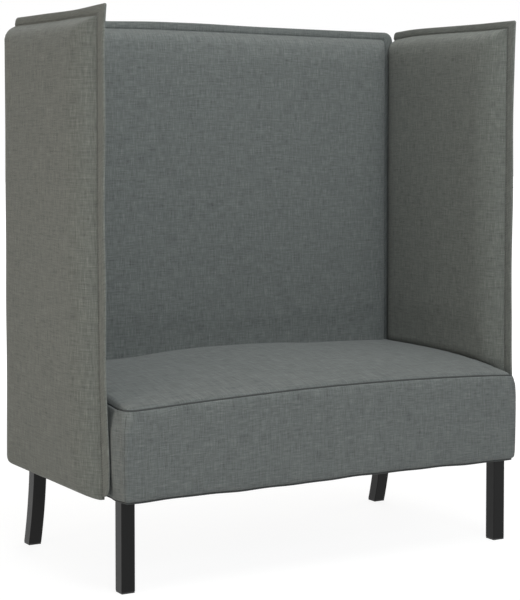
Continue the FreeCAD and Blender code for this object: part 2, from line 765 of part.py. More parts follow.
# Seat frame
def build_seat_frame():
    side = box(RAIL_IN_X, RAIL_OUT_X, RAIL_FRONT_Y, RAIL_REAR_Y, RAIL_BOTTOM_Z, RAIL_TOP_Z)
    tongue = SEAT_TENON_THICKNESS / 2
    reach = SIDE_RAIL_THICKNESS / 2
    tenon_z0 = RAIL_BOTTOM_Z + INSERT_LENGTH + TENON_SHOULDER
    tenon_z1 = RAIL_TOP_Z - TENON_SHOULDER
    rails = {}
    for name, y0 in (
        ("seat_front_rail", RAIL_FRONT_Y),
        ("seat_rear_rail", INNER_REAR_Y),
    ):
        y1 = y0 + CROSS_RAIL_THICKNESS
        middle = (y0 + y1) / 2
        body = box(-RAIL_IN_X, RAIL_IN_X, y0, y1, RAIL_BOTTOM_Z, RAIL_TOP_Z)
        tenon = box(
            -RAIL_IN_X - reach, RAIL_IN_X + reach, middle - tongue, middle + tongue, tenon_z0, tenon_z1
        )
        mortise = box(
            RAIL_IN_X,
            RAIL_IN_X + reach + HOLE_CLEARANCE,
            middle - tongue - HOLE_CLEARANCE,
            middle + tongue + HOLE_CLEARANCE,
            tenon_z0 - HOLE_CLEARANCE,
            tenon_z1 + HOLE_CLEARANCE,
        )
        rails[name] = body.fuse(tenon).removeSplitter()
        side = side.cut(mortise)
    side = cut_all(side, wing_bolt_holes + insert_holes)
    rails["seat_rear_rail"] = cut_all(rails["seat_rear_rail"], back_bolt_holes)
    rails["seat_left_rail"] = side
    rails["seat_right_rail"] = mirrored(side)
    rails["seat_stretchers"] = Part.makeCompound([
        box(
            x - STRETCHER_WIDTH / 2,
            x + STRETCHER_WIDTH / 2,
            INNER_FRONT_Y,
            INNER_REAR_Y,
            RAIL_BOTTOM_Z,
            RAIL_BOTTOM_Z + STRETCHER_HEIGHT,
        )
        for x in (-STRETCHER_X, STRETCHER_X)
    ])
    blocks = []
    for corner_y, inward in ((INNER_FRONT_Y, 1), (INNER_REAR_Y, -1)):
        corner = V(RAIL_IN_X, corner_y, RAIL_BOTTOM_Z)
        along = corner - X_AXIS * CORNER_BLOCK_LEG
        back = corner + Y_AXIS * (inward * CORNER_BLOCK_LEG)
        edges = [segment(corner, along), segment(along, back), segment(back, corner)]
        blocks.append(prism(edges, V(0, 0, RAIL_HEIGHT)))
    rails["seat_corner_blocks"] = Part.makeCompound(both_sides(blocks))
    return rails


def build_straps():
    """Elastic straps: one layer from front to back, one from side to side on top of it."""
    first_z = RAIL_TOP_Z
    second_z = RAIL_TOP_Z + STRAP_THICKNESS
    y0 = INNER_FRONT_Y - STRAP_LAP
    y1 = INNER_REAR_Y + STRAP_LAP
    length_step = 2 * RAIL_IN_X / LENGTH_STRAP_COUNT
    lengthwise = [
        box(x - STRAP_WIDTH / 2, x + STRAP_WIDTH / 2, y0, y1, first_z, second_z)
        for x in [(i + 0.5) * length_step - RAIL_IN_X for i in range(LENGTH_STRAP_COUNT)]
    ]
    cross_step = (INNER_REAR_Y - INNER_FRONT_Y) / CROSS_STRAP_COUNT
    x1 = RAIL_IN_X + STRAP_LAP
    crosswise = [
        box(-x1, x1, y - STRAP_WIDTH / 2, y + STRAP_WIDTH / 2, second_z, STRAP_TOP_Z)
        for y in [INNER_FRONT_Y + (i + 0.5) * cross_step for i in range(CROSS_STRAP_COUNT)]
    ]
    return {
        "seat_straps_lengthwise": Part.makeCompound(lengthwise),
        "seat_straps_crosswise": Part.makeCompound(crosswise),
    }


# Legs, with what joins them to the seat frame and what they stand on
LEG_TOPS = [V(LEG_X, FRONT_LEG_Y, RAIL_BOTTOM_Z), V(LEG_X, REAR_LEG_TOP_Y, RAIL_BOTTOM_Z)]
LEG_FEET = [V(LEG_X, FRONT_LEG_Y, 0), V(LEG_X, REAR_LEG_FOOT_Y, 0)]
insert_holes = [clear_hole(INSERT_DIAMETER, top, Z_AXIS, INSERT_LENGTH) for top in LEG_TOPS]


def stud_at(top, growth):
    start = top - Z_AXIS * (SPACER_THICKNESS + STUD_IN_LEG + growth)
    length = SPACER_THICKNESS + STUD_IN_LEG + growth + INSERT_LENGTH
    return rod(BOLT_DIAMETER + 2 * growth, start, Z_AXIS, length)


def glide_at(foot, growth):
    pin = rod(
        GLIDE_PIN_DIAMETER + 2 * growth,
        foot + Z_AXIS * GLIDE_THICKNESS,
        Z_AXIS,
        GLIDE_PIN_LENGTH + growth,
    )
    half = GLIDE_SIZE / 2
    pad_box = box(foot.x - half, foot.x + half, foot.y - half, foot.y + half, 0, GLIDE_THICKNESS)
    return pin, pad_box


def soften(leg):
    """Breaks the long edges of a leg with a small chamfer."""
    drop = LEG_TOP_Z - GLIDE_THICKNESS
    long_edges = [e for e in leg.Edges if abs(e.BoundBox.ZLength - drop) < CLEARANCE]
    return leg.makeChamfer(LEG_EDGE, long_edges)


def front_leg():
    half = LEG_SECTION / 2
    return soften(box(
        LEG_X - half,
        LEG_X + half,
        FRONT_LEG_Y - half,
        FRONT_LEG_Y + half,
        GLIDE_THICKNESS,
        LEG_TOP_Z,
    ))


def rear_leg():
    """Sabre leg: its front and rear faces are the same arc, one leg section apart."""
    half = LEG_SECTION / 2
    x = LEG_X - half
    middle_z = (LEG_TOP_Z + GLIDE_THICKNESS) / 2
    middle_y = (REAR_LEG_TOP_Y + REAR_LEG_FOOT_Y) / 2 - REAR_LEG_BOW

    def face(offset):
        top = V(x, REAR_LEG_TOP_Y + offset, LEG_TOP_Z)
        middle = V(x, middle_y + offset, middle_z)
        foot = V(x, REAR_LEG_FOOT_Y + offset, GLIDE_THICKNESS)
        return top, middle, foot

    front_top, front_middle, front_foot = face(-half)
    rear_top, rear_middle, rear_foot = face(half)
    edges = [
        arc(front_top, front_middle, front_foot),
        segment(front_foot, rear_foot),
        arc(rear_foot, rear_middle, rear_top),
        segment(rear_top, front_top),
    ]
    return soften(prism(edges, X_AXIS * LEG_SECTION))


def build_legs():
    legs = []
    for leg, top, foot in zip((front_leg(), rear_leg()), LEG_TOPS, LEG_FEET):
        legs.append(leg.cut(stud_at(top, HOLE_CLEARANCE)).cut(glide_at(foot, HOLE_CLEARANCE)[0]))
    half = SPACER_SIZE / 2
    spacers = []
    inserts = []
    for top in LEG_TOPS:
        plate = box(top.x - half, top.x + half, top.y - half, top.y + half, LEG_TOP_Z, RAIL_BOTTOM_Z)
        spacers.append(plate.cut(stud_at(top, HOLE_CLEARANCE)))
        sleeve = rod(INSERT_DIAMETER, top, Z_AXIS, INSERT_LENGTH)
        inserts.append(sleeve.cut(stud_at(top, HOLE_CLEARANCE)))
    studs = [stud_at(top, 0) for top in LEG_TOPS]
    glides = []
    for foot in LEG_FEET:
        pin, pad_box = glide_at(foot, 0)
        glides.append(pad_box.fuse(pin).removeSplitter())
    return {
        "front_left_leg": legs[0],
        "front_right_leg": mirrored(legs[0]),
        "rear_left_leg": legs[1],
        "rear_right_leg": mirrored(legs[1]),
        "leg_spacers": Part.makeCompound(both_sides(spacers)),
        "leg_studs": Part.makeCompound(both_sides(studs)),
        "leg_inserts": Part.makeCompound(both_sides(inserts)),
        "leg_glides": Part.makeCompound(both_sides(glides)),
    }


def build_fasteners():
    wing_heads = [p - X_AXIS * WASHER_THICKNESS for p in WING_BOLT_POINTS]
    back_heads = [p - Y_AXIS * WASHER_THICKNESS for p in BACK_BOLT_POINTS]
    wing_bolts = [bolt(h, X_AXIS, WING_BOLT_LENGTH) for h in wing_heads]
    back_bolts = [bolt(h, Y_AXIS, BACK_BOLT_LENGTH) for h in back_heads]
    wing_washers = [washer(h, X_AXIS) for h in wing_heads]
    back_washers = [washer(h, Y_AXIS) for h in back_heads]
    wing_nuts = [tee_nut(V(WING_FRAME_OUT_X, p.y, p.z), X_AXIS) for p in WING_BOLT_POINTS]
    back_nuts = [tee_nut(V(p.x, BACK_FRAME_OUT_Y, p.z), Y_AXIS) for p in BACK_BOLT_POINTS]
    bushes = [
        cut_all(rod(BUSH_DIAMETER, V(RAIL_OUT_X, p.y, p.z), X_AXIS, BUSH_LENGTH), wing_bolt_holes)
        for p in WING_BOLT_POINTS
    ]
    return {
        "panel_bolts": Part.makeCompound(both_sides(wing_bolts) + back_bolts),
        "bolt_washers": Part.makeCompound(both_sides(wing_washers) + back_washers),
        "tee_nuts": Part.makeCompound(both_sides(wing_nuts) + back_nuts),
        "spacer_bushes": Part.makeCompound(both_sides(bushes)),
        "corner_brackets": Part.makeCompound(both_sides([bracket])),
        "bracket_screws": Part.makeCompound(both_sides(screws)),
    }


def main():
    os.makedirs("parts", exist_ok=True)
    wing = build_wing()
    for name, shape in wing.items():
        save("left_wing_" + name, shape)
        save("right_wing_" + name, mirrored(shape))
    for name, shape in build_back().items():
        save("back_" + name, shape)
    for build in (build_seat, build_seat_frame, build_straps, build_legs, build_fasteners):
        for name, shape in build().items():
            save(name, shape)


main()
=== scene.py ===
import json
import math

import bpy
import numpy as np
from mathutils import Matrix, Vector


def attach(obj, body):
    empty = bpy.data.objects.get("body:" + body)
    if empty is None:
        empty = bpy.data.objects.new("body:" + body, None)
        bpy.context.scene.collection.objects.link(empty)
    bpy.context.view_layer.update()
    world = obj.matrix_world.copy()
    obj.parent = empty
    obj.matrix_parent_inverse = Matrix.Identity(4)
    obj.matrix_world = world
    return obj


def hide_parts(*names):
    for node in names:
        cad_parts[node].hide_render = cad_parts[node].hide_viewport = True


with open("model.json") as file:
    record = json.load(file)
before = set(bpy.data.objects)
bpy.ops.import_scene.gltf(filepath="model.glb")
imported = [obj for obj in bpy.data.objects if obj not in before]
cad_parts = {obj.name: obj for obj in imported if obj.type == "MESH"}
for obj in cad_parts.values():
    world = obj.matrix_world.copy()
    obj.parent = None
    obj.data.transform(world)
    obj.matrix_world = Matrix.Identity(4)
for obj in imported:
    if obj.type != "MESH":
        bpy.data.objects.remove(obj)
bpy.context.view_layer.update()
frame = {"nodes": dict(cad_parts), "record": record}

# Sizes of the sofa, in metres, as the solids have them
WING_X = 0.5745
WING_REAR_Y = 0.272
BACK_Y = 0.2755
BACK_SIDE_X = 0.535
BACK_FLANGE_X = 0.566
BACK_FRONT_FOOT_Z = 0.3284
UNDERSIDE_Z = 0.213
SEAT_SIDE_X = 0.552
SEAT_FRONT_Y = -0.3075
SEAT_REAR_Y = 0.2372
SEAT_FLOOR_Z = 0.3295
PAD_CROWN = 0.0375
BACK_REAR_CROWN = 0.0315
SEAT_TUCK_CROWN = 0.0215
CORE_HALF = 0.0114
CORE_FRONT_Y = -0.2075
CORE_REAR_Y = 0.246
CORE_SIDE_X = 0.509
CORE_TOP_Z = 1.279

# Sizes of the sewn pads
SEAM_LIP = 0.0028
MIDDLE_GAP = 0.0004
CORE_SLACK = 0.004
CORE_STEP = 0.003
TUCK_DEPTH = 0.005
TUCK_ROLL = 0.018
SEAT_CORNER = 0.010
SEAM_CORNERS = (0.032, 0.014)
WING_CORNER_FRONT_Y = -0.2450
WING_CORNER_TOP_Z = 1.3120
WING_CORNERS = (0.006, 0.022, 0.012, 0.0)
BACK_CORNER_TOP_Z = 1.3101
BACK_CORNERS = (0.0, 0.0, 0.010, 0.010)

# Sewn edges roll up from their seam: the reach of the roll and its power
WING_FRONT_ROLL = (0.062, 1.9)
PANEL_TOP_ROLL = (0.034, 2.0)
BACK_SIDE_ROLL = (0.036, 2.6)
SEAT_EDGE_ROLL = (0.016, 3.0)

# Plainly rounded edges have a reach alone
WING_REAR_ROLL = 0.030
WING_FOOT_ROLL = 0.024
BACK_FOOT_ROLL = 0.022

# Slow waves of the stuffing: their length, their height and the margin that they die away in
WING_OUTER_SWELL = (0.30, 0.0011, 0.05)
WING_INNER_SWELL = (0.30, 0.0009, 0.05)
BACK_SWELL = (0.34, 0.0011, 0.05)
SEAT_SWELL = (0.30, 0.0012, 0.06)
DUST_SWELL = (0.12, 0.0006, 0.03)
SWELL_WAVES = 7
SWELL_SPREAD = (0.6, 1.7)

# Dimples beside seams: their length, their heights, and how far from the seam they start and fade
PUCKER_WAVES = 5
PUCKER_LENGTHS = (0.026, 0.06)
PUCKER_START = 0.004
PUCKER_FADE = 0.016
SIDE_PUCKER = 0.0005
TOP_PUCKER = 0.0006
SEAT_SIDE_PUCKER = 0.0004

# Settling of the cloth: where it is free to move, and how far it may go
SEWN_MARGIN = 0.006
FREE_SPAN = 0.03
SETTLE_FRAMES = 15
SETTLE_PRESSURE = 4.0
SETTLE_CAP = 0.003
SETTLE_CLOTH = {
    "quality": 4, "mass": 0.4, "tension_stiffness": 40.0, "compression_stiffness": 40.0,
    "shear_stiffness": 20.0, "bending_stiffness": 2.0, "vertex_group_mass": "held", "use_pressure": True,
}

# Heights above which a panel is clear of the seat, each with the span of its rise
INNER_SWELL_RISE = (0.47, 0.1)
BACK_SWELL_RISE = (0.50, 0.1)
FREE_RISE = (0.45, 0.14)

# Spacing of the points that the shapes are drawn with
PANEL_DEPTH = 0.5
PANEL_HEIGHT = 1.1
WIDEST_STEP = 0.011
STEP_GROWTH = 1.45
SEAM_STEP = 0.0012
EDGE_STEP = 0.0003
BACK_FOOT_STEP = 0.0006
SEAT_EDGE_STEP = 0.0008
SEAT_REAR_STEP = 0.002
CORNER_STEP = 0.004
FLANGE_STEP = 0.008
BACK_FLANGE_STEP = 0.009
BACK_FLANGE_FOOT_STEP = 0.0015


# Lines of the sewn edges
def along(*pairs):
    """Numbers that run along an edge: pairs of a place and a value, joined by a smooth line."""
    places = np.array([p for p, _ in sorted(pairs)])
    values = np.array([v for _, v in sorted(pairs)])

    def at(where):
        where = np.asarray(where, float)
        reach = 0.035
        near = [np.interp(where + shift * reach, places, values) for shift in (-1, -0.5, 0, 0.5, 1)]
        return sum(near) / len(near)

    return at


# The flanges were sewn by hand and wave a little, so each edge has its own line
RIGHT_WING = {
    "side": -1,
    "flange_rear": 0.262,
    "seam_y": along((0.21, -0.2440), (0.437, -0.2305), (0.775, -0.2225), (1.10, -0.2225), (1.31, -0.2245)),
    "edge_y": along((0.21, -0.2700), (0.264, -0.2740), (0.375, -0.2660), (0.486, -0.2600), (0.777, -0.2554),
                     (1.113, -0.2565), (1.26, -0.2580), (1.335, -0.2690)),
    "seam_z": along((-0.27, 1.3030), (-0.125, 1.3055), (0.0, 1.3050), (0.113, 1.3065), (0.272, 1.3090)),
    "edge_z": along((-0.275, 1.3290), (-0.225, 1.3280), (-0.1625, 1.3265), (-0.1175, 1.3250),
                     (-0.06, 1.3250), (0.0, 1.3259), (0.06, 1.3271), (0.121, 1.3279), (0.185, 1.3289),
                     (0.272, 1.3303)),
}
LEFT_WING = {
    "side": 1,
    "flange_rear": 0.274,
    "seam_y": along((0.21, -0.2430), (0.48, -0.2311), (0.87, -0.2323), (1.15, -0.2335), (1.31, -0.2360)),
    "edge_y": along((0.21, -0.2690), (0.264, -0.2720), (0.375, -0.2640), (0.483, -0.2568), (0.87, -0.2585),
                     (1.13, -0.2605), (1.27, -0.2625), (1.335, -0.2680)),
    "seam_z": along((-0.27, 1.3127), (-0.13, 1.3125), (0.002, 1.3150), (0.142, 1.3165), (0.215, 1.3150),
                     (0.272, 1.3095)),
    "edge_z": along((-0.275, 1.3320), (-0.233, 1.3323), (-0.127, 1.3319), (0.006, 1.3338), (0.147, 1.3359),
                     (0.22, 1.3349), (0.272, 1.3310)),
}
BACK_SEAM_Z = along((-0.56, 1.3105), (-0.325, 1.3125), (-0.20, 1.3144), (-0.05, 1.3136), (0.10, 1.3125),
                     (0.26, 1.3111), (0.42, 1.3104), (0.56, 1.3101))
BACK_EDGE_Z = along((-0.56, 1.3310), (-0.324, 1.3317), (-0.20, 1.3357), (-0.05, 1.3357), (0.10, 1.3331),
                     (0.26, 1.3317), (0.426, 1.3309), (0.56, 1.3308))
SEAT_SEAM_Z = along((-0.56, 0.4205), (-0.534, 0.4195), (-0.484, 0.4220), (-0.357, 0.4282), (-0.225, 0.4334),
                     (-0.09, 0.4377), (0.05, 0.4396), (0.197, 0.4392), (0.318, 0.4372), (0.442, 0.4335),
                     (0.542, 0.4283), (0.56, 0.4270))
SEAT_HEM_Z = along((-0.553, 0.2118), (-0.361, 0.2138), (-0.23, 0.2120), (-0.094, 0.2126), (0.047, 0.2150),
                    (0.192, 0.2155), (0.312, 0.2142), (0.405, 0.2125), (0.538, 0.2115))
SEAT_SEAM_RISE = along((-0.3075, 0.0), (-0.28, 0.0005), (-0.255, 0.002), (-0.222, 0.006), (-0.15, 0.010),
                        (0.0, 0.014), (0.24, 0.015))
SEAT_SIDE_RISE = along((-0.3075, 0.0), (-0.255, 0.009), (-0.222, 0.015), (-0.159, 0.0225), (-0.071, 0.029),
                        (0.019, 0.0325), (0.112, 0.034), (0.24, 0.033))
SEAT_CROWN = along((-0.3075, 0.0), (-0.25, 0.012), (-0.18, 0.022), (-0.08, 0.031), (0.04, 0.037),
                    (0.14, 0.039), (0.24, 0.0385))


# Shapes drawn as sheets of points
def stations(length, first_a, first_b, widest=WIDEST_STEP):
    """Distances along a line, close together at both ends and at most widest apart between them."""
    def end(step):
        marks = [0.0]
        while step < widest:
            marks.append(marks[-1] + step)
            step *= STEP_GROWTH
        return marks

    a, b = end(first_a), end(first_b)
    gap = length - a[-1] - b[-1]
    count = max(1, round(gap / widest))
    between = [a[-1] + gap * i / count for i in range(1, count)]
    return np.array(a + between + [length - d for d in reversed(b)])


def run_along(line):
    """Distance from a line's start to each of its points."""
    steps = np.linalg.norm(np.diff(line, axis=0), axis=1)
    return np.concatenate([[0], np.cumsum(steps)])


def ramp(value, start, span):
    """0 up to the start and 1 from a span further on, with a straight rise between."""
    return np.clip((value - start) / span, 0, 1)


def smooth(t):
    """A rise from 0 to 1 that starts and ends level."""
    return t * t * (3 - 2 * t)


def arc_roll(distance, reach, power):
    """Share of the full height at a distance from a sewn edge."""
    return 1 - (1 - ramp(distance, 0, reach)) ** power


def round_roll(distance, reach):
    """Share of the full height at a distance from a plainly rounded edge."""
    return np.sqrt(np.clip(1 - (1 - ramp(distance, 0, reach)) ** 2, 0, 1))


def lesser(*shares):
    """The least of several shares, with a soft turn where two of them meet."""
    total = sum(np.maximum(share, 1e-3) ** -3.0 - 1 for share in shares) + 1
    return np.maximum(total, 1) ** (-1 / 3.0)


def freedom(distance):
    """How free the cloth is to move at a distance from its seams."""
    return ramp(distance, SEWN_MARGIN, FREE_SPAN)


def swell(a, b, inside, seed, size, depth, margin):
    """Slow waves of hand-stuffed padding, by the distance inside its edge."""
    rng = np.random.default_rng(seed)
    total = np.zeros_like(a)
    for _ in range(SWELL_WAVES):
        angle = rng.uniform(0, math.tau)
        turn = math.tau / (size * rng.uniform(*SWELL_SPREAD))
        total += np.sin((a * math.cos(angle) + b * math.sin(angle)) * turn + rng.uniform(0, math.tau))
    return total * depth / 3.0 * ramp(inside, 0, margin)


def pucker(distance, run, seed, depth):
    """Small dimples that a seam pulls into the cloth beside it."""
    rng = np.random.default_rng(seed)
    total = np.zeros_like(run)
    for _ in range(PUCKER_WAVES):
        turn = math.tau / rng.uniform(*PUCKER_LENGTHS)
        total += np.sin(run * turn + rng.uniform(0, math.tau))
    return total * depth / 2.5 * ramp(distance, 0, PUCKER_START) * np.exp(-distance / PUCKER_FADE)


def lining_lift(inside):
    """How far a lining stands off the middle plane, by the distance inside the outline of the core."""
    return MIDDLE_GAP + (CORE_HALF - MIDDLE_GAP) * ramp(inside, -CORE_SLACK, CORE_STEP)


def rounded_corners(a, z, sides, radii):
    """Draws the corners of a rectangle of points in to arcs, in turn from low a and low z."""
    a0, a1, z0, z1 = sides
    a, z = a.copy(), z.copy()
    corners_a = ((a0, 1), (a1, -1), (a1, -1), (a0, 1))
    corners_z = ((z0, 1), (z0, 1), (z1, -1), (z1, -1))
    for radius, (ca, sa), (cz, sz) in zip(radii, corners_a, corners_z):
        if radius <= 0:
            continue
        qa = 1 - (a - ca) * sa / radius
        qz = 1 - (z - cz) * sz / radius
        inside = (qa > 0) & (qz > 0)
        longest = np.maximum(qa, qz)
        length = np.hypot(qa, qz)
        pull = np.where(inside, longest / np.maximum(length, 1e-9), 1)
        a = np.where(inside, ca + sa * radius * (1 - qa * pull), a)
        z = np.where(inside, cz + sz * radius * (1 - qz * pull), z)
    return a, z


# Meshes
def make_mesh(name, points, faces):
    mesh = bpy.data.meshes.new(name)
    mesh.from_pydata([tuple(p) for p in points], [], faces)
    mesh.update()
    return mesh


def place_object(name, data):
    """Puts a mesh, a lamp or a camera in the scene."""
    made = bpy.data.objects.new(name, data)
    bpy.context.scene.collection.objects.link(made)
    return made


def grid_faces(rows, cols, start=0, flip=False):
    grid = start + np.arange(rows * cols).reshape(rows, cols)
    quads = np.stack([grid[:-1, :-1], grid[:-1, 1:], grid[1:, 1:], grid[1:, :-1]], axis=2).reshape(-1, 4)
    return (quads[:, ::-1] if flip else quads).tolist()


def rim_of(rows, cols):
    """The points round a grid's edge, in order."""
    grid = np.arange(rows * cols).reshape(rows, cols)
    return np.concatenate([grid[0], grid[1:, -1], grid[-1, -2::-1], grid[-2:0:-1, 0]]).tolist()


def cloth_lengths(points):
    """Lengths along the cloth both ways, so that the weave keeps its size on rolled edges."""
    def run(axis):
        steps = np.linalg.norm(np.diff(points, axis=axis), axis=2)
        pad = [(0, 0), (0, 0)]
        pad[axis] = (1, 0)
        total = np.cumsum(np.pad(steps, pad), axis=axis)
        return total - total.take([total.shape[axis] // 2], axis=axis)

    return np.stack([run(1), run(0)], axis=2)


def facing(face):
    """The direction that a grid's faces look in."""
    return np.cross(face[0, -1] - face[0, 0], face[-1, 0] - face[0, 0])


def make_piece(name, points, faces, weave, material):
    """A smooth piece of the body. Cloth also keeps its places in the weave."""
    mesh = make_mesh(name, points, faces)
    if weave is not None:
        layer = mesh.attributes.new("weave", "FLOAT_VECTOR", "POINT")
        full = np.zeros((len(points), 3), np.float32)
        full[:, :2] = weave
        layer.data.foreach_set("vector", full.ravel())
    mesh.polygons.foreach_set("use_smooth", [True] * len(mesh.polygons))
    mesh.materials.append(material)
    piece = place_object(name, mesh)
    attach(piece, "root")
    return piece


def make_pad(name, face, lining, material, offset, grain=(1.0, 1.0)):
    """A closed pad: its face and its lining are grids of the same shape, joined round the rim."""
    rows, cols, _ = face.shape
    points = np.concatenate([face.reshape(-1, 3), lining.reshape(-1, 3)])
    weave = cloth_lengths(face).reshape(-1, 2) * np.array(grain) + np.array(offset)
    weave = np.concatenate([weave, weave])
    thick = face[rows // 2, cols // 2] - lining[rows // 2, cols // 2]
    outward = float(thick @ facing(face)) > 0
    faces = grid_faces(rows, cols, 0, not outward) + grid_faces(rows, cols, rows * cols, outward)
    rim = rim_of(rows, cols)
    for i, a in enumerate(rim):
        b = rim[(i + 1) % len(rim)]
        quad = (a, b, b + rows * cols, a + rows * cols)
        faces.append(quad[::-1] if outward else quad)
    return make_piece(name, points, faces, weave, material)


def settle(face, loose):
    """Swells a pad's cloth over its filling and lets it settle where it is loose."""
    rows, cols, _ = face.shape
    mesh = make_mesh("settling_cloth", face.reshape(-1, 3), grid_faces(rows, cols))
    cloth_piece = place_object("settling_cloth", mesh)
    held = np.round(1 - loose.ravel(), 1)
    group = cloth_piece.vertex_groups.new(name="held")
    for level in np.unique(held):
        group.add([int(i) for i in np.nonzero(held == level)[0]], float(level), "REPLACE")
    cloth = cloth_piece.modifiers.new("cloth", "CLOTH")
    for key, value in SETTLE_CLOTH.items():
        setattr(cloth.settings, key, value)
    outward = float(facing(face) @ (face[rows // 2, cols // 2] - face[0, 0])) > 0
    cloth.settings.uniform_pressure_force = SETTLE_PRESSURE if outward else -SETTLE_PRESSURE
    cloth.settings.effector_weights.gravity = 0.0
    cloth.collision_settings.use_collision = False
    for number in range(1, SETTLE_FRAMES + 1):
        bpy.context.scene.frame_set(number)
    shaped = cloth_piece.evaluated_get(bpy.context.evaluated_depsgraph_get()).data
    after = np.empty(rows * cols * 3, np.float32)
    shaped.vertices.foreach_get("co", after)
    bpy.data.objects.remove(cloth_piece)
    bpy.data.meshes.remove(mesh)
    bpy.context.scene.frame_set(1)
    move = after.reshape(face.shape) - face
    far = np.maximum(np.linalg.norm(move, axis=2, keepdims=True), 1e-9)
    return face + move * SETTLE_CAP * np.tanh(far / SETTLE_CAP) / far


# Materials
class Value:
    """A socket's number or vector. Sums on it add Math nodes to its drawing."""

    def __init__(self, drawing, socket):
        self.drawing = drawing
        self.socket = socket

    def beside(self, name):
        """Another output of the node that this value comes from."""
        return Value(self.drawing, self.socket.node.outputs[name])

    def math(self, kind, first, second=None):
        return self.drawing.node("Math", {"operation": kind}, {0: first, 1: second})

    def __add__(self, other):
        return self.math("ADD", self, other)

    def __sub__(self, other):
        return self.math("SUBTRACT", self, other)

    def __rsub__(self, other):
        return self.math("SUBTRACT", other, self)

    def __mul__(self, other):
        return self.math("MULTIPLY", self, other)

    __radd__ = __add__
    __rmul__ = __mul__

    def sine(self):
        return self.math("SINE", self)

    def above(self, limit):
        return self.math("GREATER_THAN", self, limit)

    def clamped(self):
        return self.math("MINIMUM", self.math("MAXIMUM", self, 0.0), 1.0)


class Drawing:
    """The nodes of one material or world."""

    def __init__(self, owner):
        owner.use_nodes = True
        self.owner = owner
        self.tree = owner.node_tree
        self.tree.nodes.clear()

    def node(self, kind, settings=None, sockets=None, out=0):
        """Adds a node of a kind: its settings first, then the values or links of its sockets."""
        made = self.tree.nodes.new("ShaderNode" + kind)
        for key, value in (settings or {}).items():
            if key == "stops":
                while len(made.color_ramp.elements) < len(value):
                    made.color_ramp.elements.new(0.5)
                for element, (place, colour) in zip(made.color_ramp.elements, value):
                    element.position = place
                    element.color = colour
            else:
                setattr(made, key, value)
        for key, value in (sockets or {}).items():
            if isinstance(value, Value):
                self.tree.links.new(value.socket, made.inputs[key])
            elif value is not None:
                made.inputs[key].default_value = value
        return Value(self, made.outputs[out]) if made.outputs else None

    def place(self):
        """Where a point is on its piece."""
        return self.node("TexCoord", out="Object")

    def weave_place(self):
        """Where a point is in the weave of its cloth."""
        return self.node("Attribute", {"attribute_name": "weave"}, out="Vector")

    def across_and_up(self, vector):
        across = self.node("SeparateXYZ", None, {0: vector}, out="X")
        return across, across.beside("Y")

    def noise(self, place, scale=1.0, detail=2.0, rough=0.5, squeeze=(1, 1, 1)):
        moved = self.node("VectorMath", {"operation": "MULTIPLY"}, {0: place, 1: squeeze})
        sockets = {"Vector": moved, "Scale": scale, "Detail": detail, "Roughness": rough}
        return self.node("TexNoise", {"noise_dimensions": "3D"}, sockets)

    def tones(self, factor, stops):
        return self.node("ValToRGB", {"stops": stops}, {0: factor})

    def blend(self, factor, first, second):
        return self.node("Mix", {"data_type": "RGBA"}, {0: factor, 6: first, 7: second}, out=2)

    def seen(self):
        """1 for what the camera sees, straight or in a shiny or clear surface."""
        ray = self.node("LightPath", out="Is Camera Ray")
        return (ray + ray.beside("Is Glossy Ray") + ray.beside("Is Transmission Ray")).clamped()

    def finish(self, colour, rough, height, bump, lift, fixed=None):
        """Ends a material: its colour, its roughness, its raised texture and its fixed sockets."""
        raised = self.node("Bump", None, {"Strength": bump, "Distance": lift, "Height": height})
        sockets = {"Base Color": colour, "Roughness": rough, "Normal": raised, **(fixed or {})}
        shader = self.node("BsdfPrincipled", None, sockets)
        self.node("OutputMaterial", None, {"Surface": shader})
        return self.owner


def new_material(name):
    return Drawing(bpy.data.materials.new(name))


def srgb(r, g, b):
    def line(c):
        c = c / 255
        return c / 12.92 if c <= 0.04045 else ((c + 0.055) / 1.055) ** 2.4

    return (line(r), line(g), line(b), 1.0)


def grey(level):
    return (level, level, level, 1.0)


# Sizes of the cloths' threads and dots
YARN_PITCH = 0.0011
STRAP_RIB = 0.004
DOT_PITCH = 0.003

# How often the heather's tones change along and across the weave, in turns per metre
WARP = (400, 34, 1)
WEFT = (34, 400, 1)
FLECKS = (620, 620, 1)
UPRIGHT_SLUBS = (150, 14, 1)
LEVEL_SLUBS = (14, 150, 1)
PATCHES = (16, 16, 1)


def heather_cloth(name, dark, mid, main, pale, cool_tone):
    """Grey-green woven cloth: slubby yarns in two directions over a plain weave."""
    s = new_material(name)
    place = s.weave_place()
    across, up = s.across_and_up(place)
    warp = s.noise(place, 1.0, 3.0, 0.6, WARP)
    weft = s.noise(place, 1.0, 3.0, 0.6, WEFT)
    flecks = s.noise(place, 1.0, 2.0, 0.6, FLECKS)
    slubs = s.noise(place, 1.0, 2.0, 0.6, UPRIGHT_SLUBS) + s.noise(place, 1.0, 2.0, 0.6, LEVEL_SLUBS)
    patches = s.noise(place, 1.0, 2.0, 0.5, PATCHES)
    turn = math.pi / YARN_PITCH
    over = (across * turn).sine() * (up * turn).sine()
    tone = 0.5 + (warp - 0.5) * 0.74 + (weft - 0.5) * 0.70 + (flecks - 0.5) * 0.38 + (slubs - 1.0) * 0.24
    tone = (tone + (patches - 0.5) * 0.08 + over * 0.035).clamped()
    wool = s.tones(tone, [(0.12, dark), (0.40, mid), (0.58, main), (0.90, pale)])
    cool = s.blend(0.5, wool, cool_tone)
    colour = s.blend((weft - 0.38).clamped() * 2.2, wool, cool)
    height = over * 0.5 + (warp - 0.5) * 0.9 + (weft - 0.5) * 0.9
    sheen = {"Specular IOR Level": 0.25, "Sheen Weight": 0.12, "Sheen Roughness": 0.55}
    return s.finish(colour, 0.88 + (flecks - 0.5) * 0.12, height, 0.45, 0.0006, sheen)


